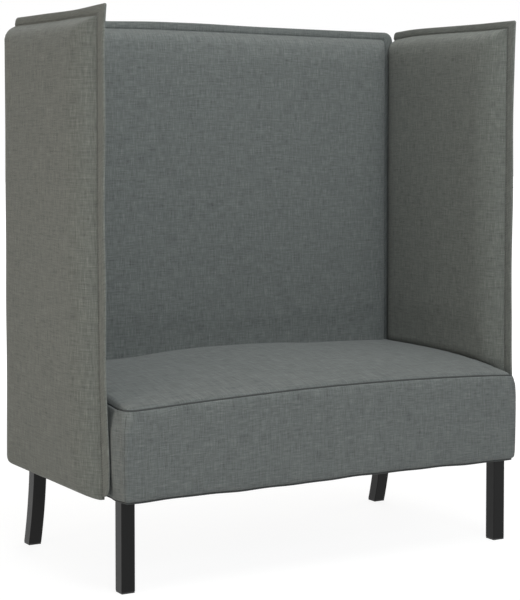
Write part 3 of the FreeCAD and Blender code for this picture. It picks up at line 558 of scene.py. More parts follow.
# Dark thread for the stitches. The same material colours the seat's dark cords of painted shade in its seam
# groove and under its hem.
def thread_and_painted_shade():
    s = new_material("thread_and_painted_shade")
    twist = s.noise(s.place(), 900.0)
    colour = s.tones(twist, [(0.3, srgb(32, 34, 33)), (0.7, srgb(50, 53, 52))])
    return s.finish(colour, 0.7 + (twist - 0.5) * 0.2, twist, 0.3, 0.0003)


def leg_lacquer():
    """Satin black lacquer over fine open grain."""
    s = new_material("leg_lacquer")
    place = s.place()
    grain = s.noise(place, 1.0, 4.0, 0.6, (420, 420, 16))
    cloud = s.noise(place, 30.0)
    colour = s.tones(grain, [(0.3, srgb(5, 5, 5)), (0.7, srgb(11, 11, 11))])
    rough = 0.33 + (cloud - 0.5) * 0.16 + (grain - 0.5) * 0.10
    return s.finish(colour, rough, grain, 0.12, 0.0003, {"Specular IOR Level": 0.22})


def moulded_plastic(name, dark, pale, rough):
    s = new_material(name)
    place = s.place()
    grain = s.noise(place, 1400.0)
    cloud = s.noise(place, 60.0)
    colour = s.tones(cloud * 0.6 + grain * 0.4, [(0.3, dark), (0.7, pale)])
    return s.finish(colour, rough + (grain - 0.5) * 0.15, grain, 0.2, 0.0002)


def plain_wood():
    """Planed wood, with rings that wander."""
    s = new_material("frame_wood")
    place = s.place()
    drift = s.noise(place, 6.0)
    line = s.noise(place, 1.0, 4.0, 0.65, (60, 60, 60))
    rings = ((line * 9.0 + drift * 3.0) * math.pi).sine() * 0.5 + 0.5
    tone = rings * 0.35 + line * 0.65
    colour = s.tones(tone, [(0.25, srgb(150, 112, 70)), (0.75, srgb(202, 166, 116))])
    return s.finish(colour, 0.62 + (line - 0.5) * 0.2, line, 0.25, 0.0004)


def press_board():
    s = new_material("press_board")
    place = s.place()
    fibre = s.noise(place, 260.0, 5.0, 0.7)
    cloud = s.noise(place, 12.0)
    tone = fibre * 0.7 + cloud * 0.3
    colour = s.tones(tone, [(0.3, srgb(112, 80, 52)), (0.7, srgb(150, 112, 76))])
    return s.finish(colour, 0.75 + (fibre - 0.5) * 0.2, fibre, 0.25, 0.0004)


def plated_steel(name, dark, pale, metal, rough):
    s = new_material(name)
    spangle = s.noise(s.place(), 240.0, 3.0)
    colour = s.tones(spangle, [(0.3, dark), (0.7, pale)])
    return s.finish(colour, rough + (spangle - 0.5) * 0.2, spangle, 0.1, 0.0002, {"Metallic": metal})


def woven_strap():
    s = new_material("woven_strap")
    place = s.place()
    across, up = s.across_and_up(place)
    turn = math.tau / STRAP_RIB
    rib = (across * turn).sine() * (up * turn).sine()
    fuzz = s.noise(place, 700.0)
    tone = fuzz * 0.6 + rib * 0.2 + 0.2
    colour = s.tones(tone, [(0.3, srgb(30, 30, 31)), (0.7, srgb(58, 58, 60))])
    return s.finish(colour, 0.85 + (fuzz - 0.5) * 0.1, rib + fuzz, 0.3, 0.0005)


def dust_cloth():
    """Thin black non-woven cloth under the seat, with its little pressed dots."""
    s = new_material("dust_cloth")
    place = s.weave_place()
    across, up = s.across_and_up(place)
    turn = math.tau / DOT_PITCH
    dots = ((across * turn).sine() * (up * turn).sine()).above(0.6)
    fibre = s.noise(place, 900.0, 3.0)
    tone = fibre * 0.7 + dots * 0.3
    colour = s.tones(tone, [(0.2, srgb(22, 22, 23)), (0.8, srgb(50, 50, 52))])
    return s.finish(colour, 0.8 + (fibre - 0.5) * 0.2, fibre - dots * 0.6, 0.4, 0.0004)


CLOTH = heather_cloth(
    "heather_cloth", srgb(62, 65, 64), srgb(94, 97, 95), srgb(108, 111, 108),
    srgb(140, 143, 138), srgb(97, 104, 105),
)
# The wings have a warmer, less blue copy of the cloth: painted warm light on the panels that face sideways.
# The yarns are the same as on the rest of the cover.
WING_CLOTH_PAINTED_WARM = heather_cloth(
    "wing_cloth_painted_warm_tint", srgb(63, 65, 62), srgb(95, 97, 92), srgb(109, 111, 105),
    srgb(141, 143, 135), srgb(98, 104, 101),
)
THREAD_AND_SHADE = thread_and_painted_shade()
DUST = dust_cloth()


# Panels: a settled pad on each side
def build_panel_pad(name, face, back, loose, cloth, offset, grain=(1.0, 1.0)):
    """A panel's pad, in the place of a cover and its foam."""
    pad = make_pad(f"{name}_pad", settle(face, loose), back, cloth, offset, grain)
    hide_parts(f"{name}_cover", f"{name}_foam")


# Flanges: soft strips from a seam out to an edge, with a row of stitches on each side
FLANGE_MARKS = np.array(
    [-0.35, -0.1, 0.03, 0.10, 0.22, 0.38, 0.55, 0.70, 0.80, 0.87, 0.925, 0.965, 0.99, 1.0]
)
FLANGE_PLUMP = 0.22
FLANGE_PLUMP_SPAN = 0.28
FLANGE_NOSE = 1.3
FLANGE_SEAM_SHARE = 0.12
FLANGE_SEAM_THIN = 0.62
FLANGE_WAVE = 0.0012
FLANGE_WAVE_TURN = 17
WING_FLANGE_THICKNESS = 0.0062
BACK_FLANGE_THICKNESS = 0.0060
STITCH_PITCH = 0.0052
STITCH_LENGTH = 0.0034
STITCH_RADIUS = 0.00042
STITCH_SHARE = 0.16
STITCH_PROUD = 0.0003
STITCH_SIDES = 6
STITCH_TAPER = (0.35, 1.0, 0.35)


def rounded_end(distance, reach, power, least):
    """Share of a flange's width at a distance from its end, where it has the least share."""
    return least + (1 - least) * (1 - max(0, 1 - distance / reach) ** power) ** (1 / power)


def flange_sides(inner_line, outer_line, thickness, place, seed):
    """Both sides of a flange: thin at the seam, plump in the middle and rounded at its edge."""
    reach = np.linalg.norm(outer_line - inner_line, axis=1)
    run = (run_along(inner_line) + run_along(outer_line)) / 2
    marks = FLANGE_MARKS
    half = thickness / 2
    plump = 1 + FLANGE_PLUMP * np.exp(-((marks - 0.5) / FLANGE_PLUMP_SPAN) ** 2)
    at_seam = half * (FLANGE_SEAM_THIN + (1 - FLANGE_SEAM_THIN) * ramp(marks, 0, FLANGE_SEAM_SHARE))
    sides = []
    for way in (1, -1):
        rows = []
        for start, end, wide, at in zip(inner_line, outer_line, reach, run):
            where = start + marks[:, None] * (end - start)
            edge = (1 - marks) * max(wide, 1e-6)
            fat = half * plump * round_roll(edge, half * FLANGE_NOSE)
            fat = np.where(marks < FLANGE_SEAM_SHARE, at_seam, fat)
            bend = FLANGE_WAVE * math.sin(at * FLANGE_WAVE_TURN + seed) * np.clip(marks, 0, 1)
            rows.append([place(a, way * f + b, u) for (a, u), f, b in zip(where, fat, bend)])
        sides.append(np.array(rows))
    return sides


def ring(centre, a, b, radius, sides):
    """Points round a centre, in the plane of two directions."""
    turns = [math.tau * k / sides for k in range(sides)]
    return [centre + radius * (a * math.cos(turn) + b * math.sin(turn)) for turn in turns]


def stitch(line, run, at, out):
    """The points of one stitch: three rings round a short stretch of a line."""
    ends = []
    for shift in (-0.5, 0, 0.5):
        ends.append(np.array([np.interp(at + shift * STITCH_LENGTH, run, line[:, j]) for j in range(3)]))
    way = ends[2] - ends[0]
    side = np.cross(way / np.linalg.norm(way), out)
    points = []
    for centre, fat in zip(ends, STITCH_TAPER):
        points += ring(centre, side, out, STITCH_RADIUS * fat, STITCH_SIDES)
    return points


def tube_faces(rings, sides, start=0):
    """The faces of a closed tube of rings."""
    faces = []
    for first in range(start, start + (rings - 1) * sides, sides):
        for k in range(sides):
            a = first + k
            b = first + (k + 1) % sides
            faces.append((a, b, b + sides, a + sides))
    faces.append(tuple(start + k for k in range(sides - 1, -1, -1)))
    faces.append(tuple(start + (rings - 1) * sides + k for k in range(sides)))
    return faces


def sew_flange(name, inner_line, outer_line, thickness, place):
    """A row of stitches on each side of a flange, close to its seam and half sunk in the cloth."""
    row = inner_line + STITCH_SHARE * (outer_line - inner_line)
    points, faces = [], []
    for way in (1, -1):
        line = np.array([place(across, way * (thickness / 2 + STITCH_PROUD), up) for across, up in row])
        out = np.subtract(place(0, way, 0), place(0, 0, 0))
        run = run_along(line)
        for at in np.arange(STITCH_PITCH, run[-1] - STITCH_PITCH, STITCH_PITCH):
            faces += tube_faces(len(STITCH_TAPER), STITCH_SIDES, len(points))
            points += stitch(line, run, at, out)
    make_piece(name, points, faces, None, THREAD_AND_SHADE)


def build_flange(label, lines, skip, thickness, place, seed, offset, cloth):
    """A panel's flange between its seam line and its edge line, and its stitches but for the ends."""
    inner_line, outer_line = np.array(lines)
    face, back = flange_sides(inner_line, outer_line, thickness, place, seed)
    flange = make_pad(f"{label}_flange", face, back, cloth, offset)
    sew_flange(f"{label}_stitching", inner_line[skip:-3], outer_line[skip:-3], thickness, place)


# Wings: a padded face each side of the middle plane, and the flange between them
WING_SEAM_TOP = 1.31
WING_EDGE_TOP = 1.335
WING_FLANGE_CORNER = 0.005
WING_FLANGE_FOOT = 0.222
WING_FLANGE_REAR_END = (0.012, 2.6, 0.45)
WING_FLANGE_FOOT_END = (0.026, 2.2, 0.15)
WING_CORNER_STEPS = 4
OUTER_WING_GRAIN = (0.7, 0.95)


def wing_face(wing, inner, seed):
    """A wing's face on one side, its lining, and how free the face's cloth is."""
    depth = stations(PANEL_DEPTH, SEAM_STEP, EDGE_STEP)
    height = stations(PANEL_HEIGHT, EDGE_STEP, SEAM_STEP)
    s, t = np.meshgrid(depth / depth[-1], height / height[-1])
    z = UNDERSIDE_Z + t * (wing["seam_z"](0.0) - UNDERSIDE_Z)
    y = wing["seam_y"](z) + s * (WING_REAR_Y - wing["seam_y"](z))
    z = UNDERSIDE_Z + t * (wing["seam_z"](y) - UNDERSIDE_Z)
    front = y - wing["seam_y"](z)
    rear = WING_REAR_Y - y
    top = wing["seam_z"](y) - z
    low = z - UNDERSIDE_Z
    nearest = np.minimum.reduce([front, top, rear, low])
    share = lesser(
        arc_roll(front, *WING_FRONT_ROLL), arc_roll(top, *PANEL_TOP_ROLL),
        round_roll(rear, WING_REAR_ROLL), round_roll(low, WING_FOOT_ROLL),
    )
    crown = PAD_CROWN
    waves = swell(y, z, nearest, seed, *(WING_INNER_SWELL if inner else WING_OUTER_SWELL))
    loose = freedom(nearest)
    if inner:
        seat = SEAT_SEAM_Z(wing["side"] * SEAT_SIDE_X) + SEAT_SIDE_RISE(y)
        clear = round_roll(z - seat + TUCK_DEPTH, TUCK_ROLL)
        crown = SEAT_TUCK_CROWN + (PAD_CROWN - SEAT_TUCK_CROWN) * clear
        waves = waves * ramp(z, *INNER_SWELL_RISE)
        loose = loose * ramp(z, *FREE_RISE)
    lift = SEAM_LIP + (crown - SEAM_LIP) * share + waves
    lift += pucker(front, z, seed + 1, SIDE_PUCKER) + pucker(top, y, seed + 2, TOP_PUCKER)
    lining = lining_lift(np.minimum.reduce([y - CORE_FRONT_Y, CORE_REAR_Y - y, CORE_TOP_Z - z]))
    sides = (WING_CORNER_FRONT_Y, WING_REAR_Y, UNDERSIDE_Z, WING_CORNER_TOP_Z)
    y, z = rounded_corners(y, z, sides, WING_CORNERS)
    way = wing["side"] * (-1 if inner else 1)
    middle = wing["side"] * WING_X
    face = np.stack([middle + way * lift, y, z], axis=2)
    back = np.stack([middle + way * lining, y, z], axis=2)
    return face, back, loose


def wing_flange_lines(wing):
    """Seam line and edge line of a wing's flange, from its rear end along the top and down the front."""
    corner = WING_FLANGE_CORNER
    corner_y = wing["seam_y"](WING_SEAM_TOP)
    corner_z = wing["seam_z"](corner_y)
    edge_y = wing["edge_y"](WING_EDGE_TOP)
    edge_z = wing["edge_z"](edge_y)
    inner, outer = [], []
    rear = wing["flange_rear"]
    top_run = stations(rear - corner_y, SEAM_STEP, CORNER_STEP, FLANGE_STEP)
    for d in top_run[:-1]:
        y_in = rear - d
        y_out = rear - d / top_run[-1] * (rear - edge_y - corner)
        z_in = wing["seam_z"](y_in)
        wide = rounded_end(d, *WING_FLANGE_REAR_END)
        inner.append((y_in, z_in))
        outer.append((y_out, z_in + (wing["edge_z"](y_out) - z_in) * wide))
    for turn in np.linspace(0, math.pi / 2, WING_CORNER_STEPS + 1):
        inner.append((corner_y, corner_z))
        outer.append((edge_y + corner * (1 - math.sin(turn)), edge_z - corner * (1 - math.cos(turn))))
    side_run = stations(corner_z - WING_FLANGE_FOOT, CORNER_STEP, SEAM_STEP, FLANGE_STEP)
    for d in side_run[1:]:
        share = d / side_run[-1]
        z_in = corner_z - d
        z_out = edge_z - corner - share * (edge_z - corner - WING_FLANGE_FOOT)
        y_in = wing["seam_y"](z_in)
        wide = rounded_end((1 - share) * side_run[-1], *WING_FLANGE_FOOT_END)
        inner.append((y_in, z_in))
        outer.append((y_in + (wing["edge_y"](z_out) - y_in) * wide, z_out))
    return inner, outer


def build_wing(wing, label, seed):
    middle = wing["side"] * WING_X

    def place(across, through, up):
        return (middle + through, across, up)

    for inner, word in ((False, "outer"), (True, "inner")):
        shape = wing_face(wing, inner, seed + inner * 10)
        offset = (seed * 0.37 + inner * 1.9, seed * 0.21)
        grain = (1.0, 1.0) if inner else OUTER_WING_GRAIN
        build_panel_pad(f"{label}_{word}", *shape, WING_CLOTH_PAINTED_WARM, offset, grain)
    build_flange(
        label, wing_flange_lines(wing), 2, WING_FLANGE_THICKNESS, place, seed, (seed * 0.5, 2.3),
        WING_CLOTH_PAINTED_WARM,
    )


# Back: a front pad and a rear pad, with the flange along the top and both sides
BACK_FLANGE_FOOT = 0.226
BACK_FLANGE_CORNER = 0.026
BACK_FLANGE_END = (0.014, 2.4, 0.4)
BACK_FLANGE_WAVE = 0.0015
BACK_FLANGE_WAVE_TURN = 9.0
BACK_FLANGE_TOP_STEPS = 122
BACK_CORNER_STEPS = 6
BACK_SEAM_CORNER_X = 0.004
BACK_EDGE_CORNER_X = 0.002
BACK_CORNER_X = 0.55
BACK_SEAM_CORNER_STEP = (0.0004, 0.0001)
BACK_SEED = 31


def back_face(forward, bottom, crown, seed):
    """One face of the back, its lining, and how free the face's cloth is."""
    width = stations(2 * BACK_SIDE_X, SEAM_STEP, SEAM_STEP)
    height = stations(PANEL_HEIGHT, BACK_FOOT_STEP, SEAM_STEP)
    s, t = np.meshgrid(width / width[-1], height / height[-1])
    x = -BACK_SIDE_X + s * 2 * BACK_SIDE_X
    z = bottom + t * (BACK_SEAM_Z(x) - bottom)
    side = BACK_SIDE_X - np.abs(x)
    top = BACK_SEAM_Z(x) - z
    low = z - bottom
    nearest = np.minimum.reduce([side, top, low])
    share = lesser(arc_roll(side, *BACK_SIDE_ROLL), arc_roll(top, *PANEL_TOP_ROLL))
    waves = swell(x, z, nearest, seed, *BACK_SWELL)
    loose = freedom(nearest)
    if forward:
        waves = waves * ramp(z, *BACK_SWELL_RISE)
        loose = loose * ramp(z, *FREE_RISE)
    else:
        share = lesser(share, round_roll(low, BACK_FOOT_ROLL))
    lift = SEAM_LIP + (crown - SEAM_LIP) * share + waves
    lift += pucker(top, x, seed + 1, TOP_PUCKER) + pucker(side, z, seed + 2, SIDE_PUCKER)
    lining = lining_lift(np.minimum(CORE_SIDE_X - np.abs(x), CORE_TOP_Z - z))
    x, z = rounded_corners(x, z, (-BACK_SIDE_X, BACK_SIDE_X, bottom, BACK_CORNER_TOP_Z), BACK_CORNERS)
    way = -1 if forward else 1
    face = np.stack([x, BACK_Y + way * lift, z], axis=2)
    back = np.stack([x, BACK_Y + way * lining, z], axis=2)
    return face, back, loose


def back_flange_lines():
    """Seam line and edge line of the back's flange: up the right side, along the top and down the left."""
    foot = BACK_FLANGE_FOOT
    corner = BACK_FLANGE_CORNER
    step_x, step_z = BACK_SEAM_CORNER_STEP
    inner, outer = [], []
    corner_z = BACK_SEAM_Z(BACK_SIDE_X)
    top_z = BACK_EDGE_Z(BACK_CORNER_X)
    rise = stations(corner_z - foot, BACK_FLANGE_FOOT_STEP, CORNER_STEP, BACK_FLANGE_STEP)
    for d in rise[:-1]:
        wave = BACK_FLANGE_WAVE * math.sin(d * BACK_FLANGE_WAVE_TURN)
        wide = (BACK_FLANGE_X - BACK_SIDE_X + wave) * rounded_end(d, *BACK_FLANGE_END)
        inner.append((-BACK_SIDE_X, foot + d))
        outer.append((-BACK_SIDE_X - wide, foot + d / rise[-1] * (top_z - corner - foot)))
    for step, turn in enumerate(np.linspace(0, math.pi / 2, BACK_CORNER_STEPS + 1)):
        inner.append((-BACK_SIDE_X + step_x * step, corner_z + step_z * step))
        outer.append((-BACK_FLANGE_X + corner * (1 - math.cos(turn)), top_z - corner * (1 - math.sin(turn))))
    far_inner = [(-a, u) for a, u in reversed(inner)]
    far_outer = [(-a, u) for a, u in reversed(outer)]
    start_x = -BACK_SIDE_X + BACK_SEAM_CORNER_X
    edge_x = -BACK_FLANGE_X + corner + BACK_EDGE_CORNER_X
    for share in np.linspace(0, 1, BACK_FLANGE_TOP_STEPS + 1):
        x_in = start_x * (1 - 2 * share)
        x_out = edge_x * (1 - 2 * share)
        inner.append((x_in, BACK_SEAM_Z(x_in)))
        outer.append((x_out, BACK_EDGE_Z(x_out)))
    return inner + far_inner, outer + far_outer


def build_back():
    def place(across, through, up):
        return (across, BACK_Y + through, up)

    for forward, word, bottom, crown in (
        (True, "front", BACK_FRONT_FOOT_Z, PAD_CROWN), (False, "rear", UNDERSIDE_Z, BACK_REAR_CROWN)
    ):
        shape = back_face(forward, bottom, crown, BACK_SEED + forward)
        build_panel_pad(f"back_{word}", *shape, CLOTH, (5.0 + forward * 2.0, 1.0))
    build_flange(
        "back", back_flange_lines(), 3, BACK_FLANGE_THICKNESS, place, 3, (9.0, 4.0),
        CLOTH,
    )


# Seat: a crowned top cushion inside a boxing band
SEAT_TOP_INSET = 0.0080
SEAT_TOP_CORNER_LESS = 0.006
SEAT_TOP_SINK = 0.0065
SEAT_TOP_LIFT = 0.0025
SEAT_CROWN_POWER = 2.6
SEAT_TOP_GRAIN = (0.75, 0.45)
SEAT_SEED = 77

# Ears of the seat's top, which fill its rear corners between the wings and the back
EAR_X = (0.500, 0.035)
EAR_Y = 0.15
EAR_OUT = 0.006
EAR_BACK = 0.031

# Swelling of the seat's sides ahead of the wings: its depth, and where it rises and falls
PUFF_DEPTH = 0.0140
PUFF_RISE = (-0.2985, 0.030)
PUFF_FALL = (0.216, 0.034)

# Points round half the boxing: down its side, round its corner and along its front
SIDE_POINTS = 70
CORNER_POINTS = 11
FRONT_POINTS = 70
BOXING_REAR_Y = SEAT_REAR_Y + 0.032

# The boxing's cut: its turned-under hem above its lowest line, and its lip below the seam
HEM_TURN = ((-0.028, 0.0008), (-0.018, 0.0004))
HEM_ROLL = 0.010
HEM_ROLL_POINTS = 7
HEM_LIFT = 0.0014
HEM_WAVE = 0.0010
WALL_SHARES = np.linspace(0.085, 0.88, 22)
WALL_BELLY = 0.0016
SIDE_BELLY = 0.0020
WALL_WAVE = 0.0006
LIP = (
    (-0.0002, -0.0150), (-0.0010, -0.0105), (-0.0022, -0.0068), (-0.0036, -0.0042),
    (-0.0050, -0.0030), (-0.0062, -0.0034), (-0.0068, -0.0055), (-0.0070, -0.0100),
)
LIP_REACH = (-0.058, 0.050)
HEM_REACH = 0.060
FREE_FRONT = (0.262, 0.02)
CLOTH_THICKNESS = 0.0012
LINING_INSET = 0.002
LINING_HEM = 0.0022
SHARP_PUFF = 0.3

# Cords of the seat: a dark cord in the groove of the top seam, which is painted shade of the groove over the
# seam's thread, a dark cord of painted shade under the hem, and the thin corner seams
SEAM_SHADE_CORD_RADIUS = 0.0025
SEAM_SHADE_CORD_INSET = 0.0076
SEAM_SHADE_CORD_DROP = 0.0020
SEAM_SHADE_CORD_PUFF = 0.15
# A dark cord of painted shade under the hem's roll: its radius, and how far in and down it sits.
HEM_SHADE_CORD_RADIUS = 0.0024
HEM_SHADE_CORD_INSET = 0.009
HEM_SHADE_CORD_DROP = 0.0018
CORNER_SEAM_RADIUS = 0.0004
CORNER_SEAM_SPAN = slice(5, -6)
CORD_SIDES = 8


def seat_seam_height(x, y):
    """Height of the seam between the seat's top and its boxing."""
    return SEAT_SEAM_Z(x) + SEAT_SEAM_RISE(y)


def build_seat_top():
    half = SEAT_SIDE_X - SEAT_TOP_INSET
    front = SEAT_FRONT_Y + SEAT_TOP_INSET
    width = stations(2 * half, SEAT_EDGE_STEP, SEAT_EDGE_STEP)
    depth = stations(SEAT_REAR_Y - front, SEAT_EDGE_STEP, SEAT_REAR_STEP)
    s, t = np.meshgrid(width - half, depth + front)
    corners = [radius - SEAT_TOP_CORNER_LESS for radius in SEAM_CORNERS]
    x, y = rounded_corners(s, t, (-half, half, front, SEAT_REAR_Y), (*corners, 0.0, 0.0))
    ear = smooth(ramp(np.abs(s), *EAR_X)) * ramp(t, EAR_Y, SEAT_REAR_Y - EAR_Y) ** 2
    x = x + EAR_OUT * np.sign(s) * ear
    y = y + EAR_BACK * ear
    to_side = half - np.abs(s)
    to_front = t - front
    inward = np.minimum(to_side, to_front)
    crown = SEAT_CROWN(y) * (1 - (np.abs(x) / half) ** SEAT_CROWN_POWER)
    level = SEAT_SEAM_Z(x) + np.maximum(SEAT_SIDE_RISE(y), crown)
    sunk = seat_seam_height(x, y) - SEAT_TOP_SINK
    z = sunk + (level + SEAT_TOP_LIFT - sunk) * arc_roll(inward, *SEAT_EDGE_ROLL)
    z += swell(x, y, inward, SEAT_SEED, *SEAT_SWELL)
    z += pucker(to_front, x, SEAT_SEED + 1, SIDE_PUCKER) + pucker(to_side, y, SEAT_SEED + 2, SEAT_SIDE_PUCKER)
    loose = freedom(np.minimum(inward, SEAT_REAR_Y - t))
    face = settle(np.stack([x, y, z], axis=2), loose)
    under = np.stack([x, y, np.full_like(z, SEAT_FLOOR_Z)], axis=2)
    pad = make_pad("seat_top_pad", face, under, CLOTH, (13.0, 2.0), SEAT_TOP_GRAIN)
    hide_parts("seat_top_cover", "seat_foam")


def side_puff(y):
    """How far the seat's side swells out between its front corner and the wing."""
    return PUFF_DEPTH * smooth(ramp(y, *PUFF_RISE)) * smooth(ramp(-y, *PUFF_FALL))


def seat_outline(corners, puff):
    """The seat's plan, from rear right round the front to rear left: points and outward directions."""
    halves = []
    for corner in corners:
        half = []
        for y in np.linspace(BOXING_REAR_Y, SEAT_FRONT_Y + corner, SIDE_POINTS)[:-1]:
            half.append((-SEAT_SIDE_X - puff * side_puff(y), y, -1.0, 0.0))
        for turn in np.linspace(0, math.pi / 2, CORNER_POINTS):
            out = (-math.cos(turn), -math.sin(turn))
            half.append((-SEAT_SIDE_X + corner * (1 + out[0]), SEAT_FRONT_Y + corner * (1 + out[1]), *out))
        for x in np.linspace(-SEAT_SIDE_X + corner, 0, FRONT_POINTS)[1:]:
            half.append((x, SEAT_FRONT_Y, 0.0, -1.0))
        halves.append(np.array(half))
    whole = np.concatenate([halves[0], halves[1][-2::-1] * (-1, 1, -1, 1)])
    return whole[:, :2], whole[:, 2:]


def boxing_cut(top, low, tall, free, at, sideways):
    """A cut through the boxing, from its turned-under hem up to its lip: places outward and heights."""
    cut = [(out, low + up) for out, up in HEM_TURN]
    for turn in np.linspace(0, math.pi / 2, HEM_ROLL_POINTS):
        cut.append((-HEM_ROLL * (1 - math.sin(turn)), low + HEM_ROLL * (1 - math.cos(turn))))
    for share in WALL_SHARES:
        belly = (WALL_BELLY + SIDE_BELLY * sideways) * math.sin(math.pi * share) ** 0.5 * free
        wave = WALL_WAVE * math.sin(at * 21 + share * 4) * free
        cut.append((belly + wave, low + tall * share))
    return cut + [(out, top + up) for out, up in LIP]


def build_boxing():
    """The band round the seat: rolled in to the top seam, nearly straight down, and turned under below."""
    sharp, sharp_out = seat_outline((SEAT_CORNER, SEAT_CORNER), SHARP_PUFF)
    puffed, _ = seat_outline((SEAT_CORNER, SEAT_CORNER), 1.0)
    turned, turned_out = seat_outline(SEAM_CORNERS, SHARP_PUFF)
    run = run_along(sharp)
    seam = seat_seam_height(turned[:, 0], turned[:, 1])
    hem = SEAT_HEM_Z(sharp[:, 0])
    free = ramp(-sharp[:, 1], *FREE_FRONT)
    rows, backs, hem_shade_line = [], [], []
    for i, (top, low, loose, at) in enumerate(zip(seam, hem, free, run)):
        tall = top - low
        low = low + HEM_LIFT + HEM_WAVE * math.sin(at * 38) * math.sin(at * 11 + 1) * loose
        # A line just in from and below the hem, for the dark cord of painted shade under it.
        hem_shade_line.append((*(sharp[i] - sharp_out[i] * HEM_SHADE_CORD_INSET), low - HEM_SHADE_CORD_DROP))
        row, back = [], []
        for o, z in boxing_cut(top, low, tall, loose, at, abs(sharp_out[i][0])):
            near_lip = smooth(ramp(z - top, *LIP_REACH))
            near_hem = 1 - ramp(z, low, HEM_REACH)
            place = puffed[i] + (sharp[i] - puffed[i]) * near_hem * near_hem
            place = place + (turned[i] - place) * near_lip
            out = sharp_out[i] + (turned_out[i] - sharp_out[i]) * near_lip
            out = out / np.linalg.norm(out)
            deep = min(o, -LINING_INSET) - CLOTH_THICKNESS
            row.append((*(place + out * o), z))
            back.append((*(place + out * deep), max(z, low + LINING_HEM)))
        rows.append(row)
        backs.append(back)
    face = np.array(rows)
    pad = make_pad("seat_boxing", face, np.array(backs), CLOTH, (17.0, 3.0))
    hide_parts("seat_boxing_cover")
    return face, hem_shade_line


def cord(name, line, radius):
    """A round cord along a line of points, in the dark thread material: threads, and lines of painted shade.
    """
    line = np.asarray(line, float)
    way = np.gradient(line, axis=0)
    way /= np.linalg.norm(way, axis=1)[:, None]
    side = np.cross(way, (0.0, 0.0, 1.0))
    upright = np.linalg.norm(side, axis=1) < 1e-6
    side[upright] = (1.0, 0.0, 0.0)
    side /= np.linalg.norm(side, axis=1)[:, None]
    rise = np.cross(side, way)
    points = []
    for place, a, b in zip(line, side, rise):
        points += ring(place, a, b, radius, CORD_SIDES)
    make_piece(name, points, tube_faces(len(line), CORD_SIDES), None, THREAD_AND_SHADE)


def build_seat_seams(boxing, hem_shade_line):
    """The dark cord sunk beside the seat's top, which is painted shade of the seam's groove over its thread,
    the dark cord of painted shade under its hem, and the corner seams.
    """
    places, outs = seat_outline(SEAM_CORNERS, SEAM_SHADE_CORD_PUFF)
    drop = seat_seam_height(places[:, 0], places[:, 1]) - SEAM_SHADE_CORD_DROP
    line = np.column_stack([places - outs * SEAM_SHADE_CORD_INSET, drop])
    # The dark cord in the seam's groove: painted shade of the groove, over the seam's thread.
    cord("seat_seam_shade_cord", line, SEAM_SHADE_CORD_RADIUS)
    # The dark cord of painted shade under the hem.
    cord("seat_hem_painted_shade_cord", hem_shade_line, HEM_SHADE_CORD_RADIUS)
    column = SIDE_POINTS - 1 + CORNER_POINTS // 2
    cord("seat_right_corner_seam", boxing[column, CORNER_SEAM_SPAN], CORNER_SEAM_RADIUS)
    cord("seat_left_corner_seam", boxing[-1 - column, CORNER_SEAM_SPAN], CORNER_SEAM_RADIUS)


# Dust cloth under the seat
DUST_MARGIN = 0.010
DUST_REAR_Y = 0.262
DUST_CORNER = 0.012
DUST_POINTS = (90, 46)
DUST_DROP = 0.0004
DUST_SAG = 0.0016
DUST_SAG_SPAN = 0.12
DUST_SAG_MOST = 0.003
DUST_THICKNESS = 0.0008
DUST_SEED = 91


def build_dust_cover():
    """The dust cloth under the seat, stapled at its edge and sagging a little between."""
    half = SEAT_SIDE_X - DUST_MARGIN
    front, rear = SEAT_FRONT_Y + DUST_MARGIN, DUST_REAR_Y
    s, t = np.meshgrid(np.linspace(-half, half, DUST_POINTS[0]), np.linspace(front, rear, DUST_POINTS[1]))
    x, y = rounded_corners(s, t, (-half, half, front, rear), (DUST_CORNER, DUST_CORNER, 0.0, 0.0))
    edge = np.minimum.reduce([half - np.abs(s), t - front, rear - t])
    sag = DUST_SAG * ramp(edge, 0, DUST_SAG_SPAN) + swell(x, y, edge, DUST_SEED, *DUST_SWELL)
    z = UNDERSIDE_Z + DUST_DROP - np.clip(sag, 0, DUST_SAG_MOST)
    face = np.stack([x, y, z], axis=2)
    back = np.stack([x, y, z + DUST_THICKNESS], axis=2)
    piece = make_pad("seat_dust_cloth", face, back, DUST, (0.0, 0.0))
    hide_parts("seat_dust_cover")


build_wing(RIGHT_WING, "right_wing", 1)
build_wing(LEFT_WING, "left_wing", 4)
build_back()
build_seat_top()
build_seat_seams(*build_boxing())
build_dust_cover()

# Finishes of the solids that stay as they are
FINISHES = {
    "frame_wood": plain_wood(),
    "panel_board": press_board(),
    "leg_black": leg_lacquer(),
    "pale_plastic": moulded_plastic("spacer_plastic", srgb(176, 176, 170), srgb(206, 206, 200), 0.5),
    "dark_plastic": moulded_plastic("glide_plastic", srgb(26, 26, 26), srgb(44, 44, 44), 0.55),
    "zinc_steel": plated_steel("zinc_steel", srgb(150, 152, 154), srgb(196, 198, 200), 1.0, 0.38),
    "black_steel": plated_steel("black_steel", srgb(20, 20, 21), srgb(36, 36, 37), 0.0, 0.5),
    "webbing": woven_strap(),
    "upholstery": CLOTH,
    "foam": CLOTH,
    "dust_cloth": DUST,
}
for entry in frame["record"]["subparts"]:
    solid = frame["nodes"][entry["node"]]
    solid.data.materials.clear()
    solid.data.materials.append(FINISHES[entry["material_slot"]])

# Studio: pale floor, white surroundings, soft lamps
FLOOR_REACH = 40.0
FLOOR_GLOW = 1.27
FLOOR_NEAR_SHARE = 0.7
WORLD_TINT = (1.0, 0.97, 0.91, 1.0)
WORLD_STRENGTH = 0.28


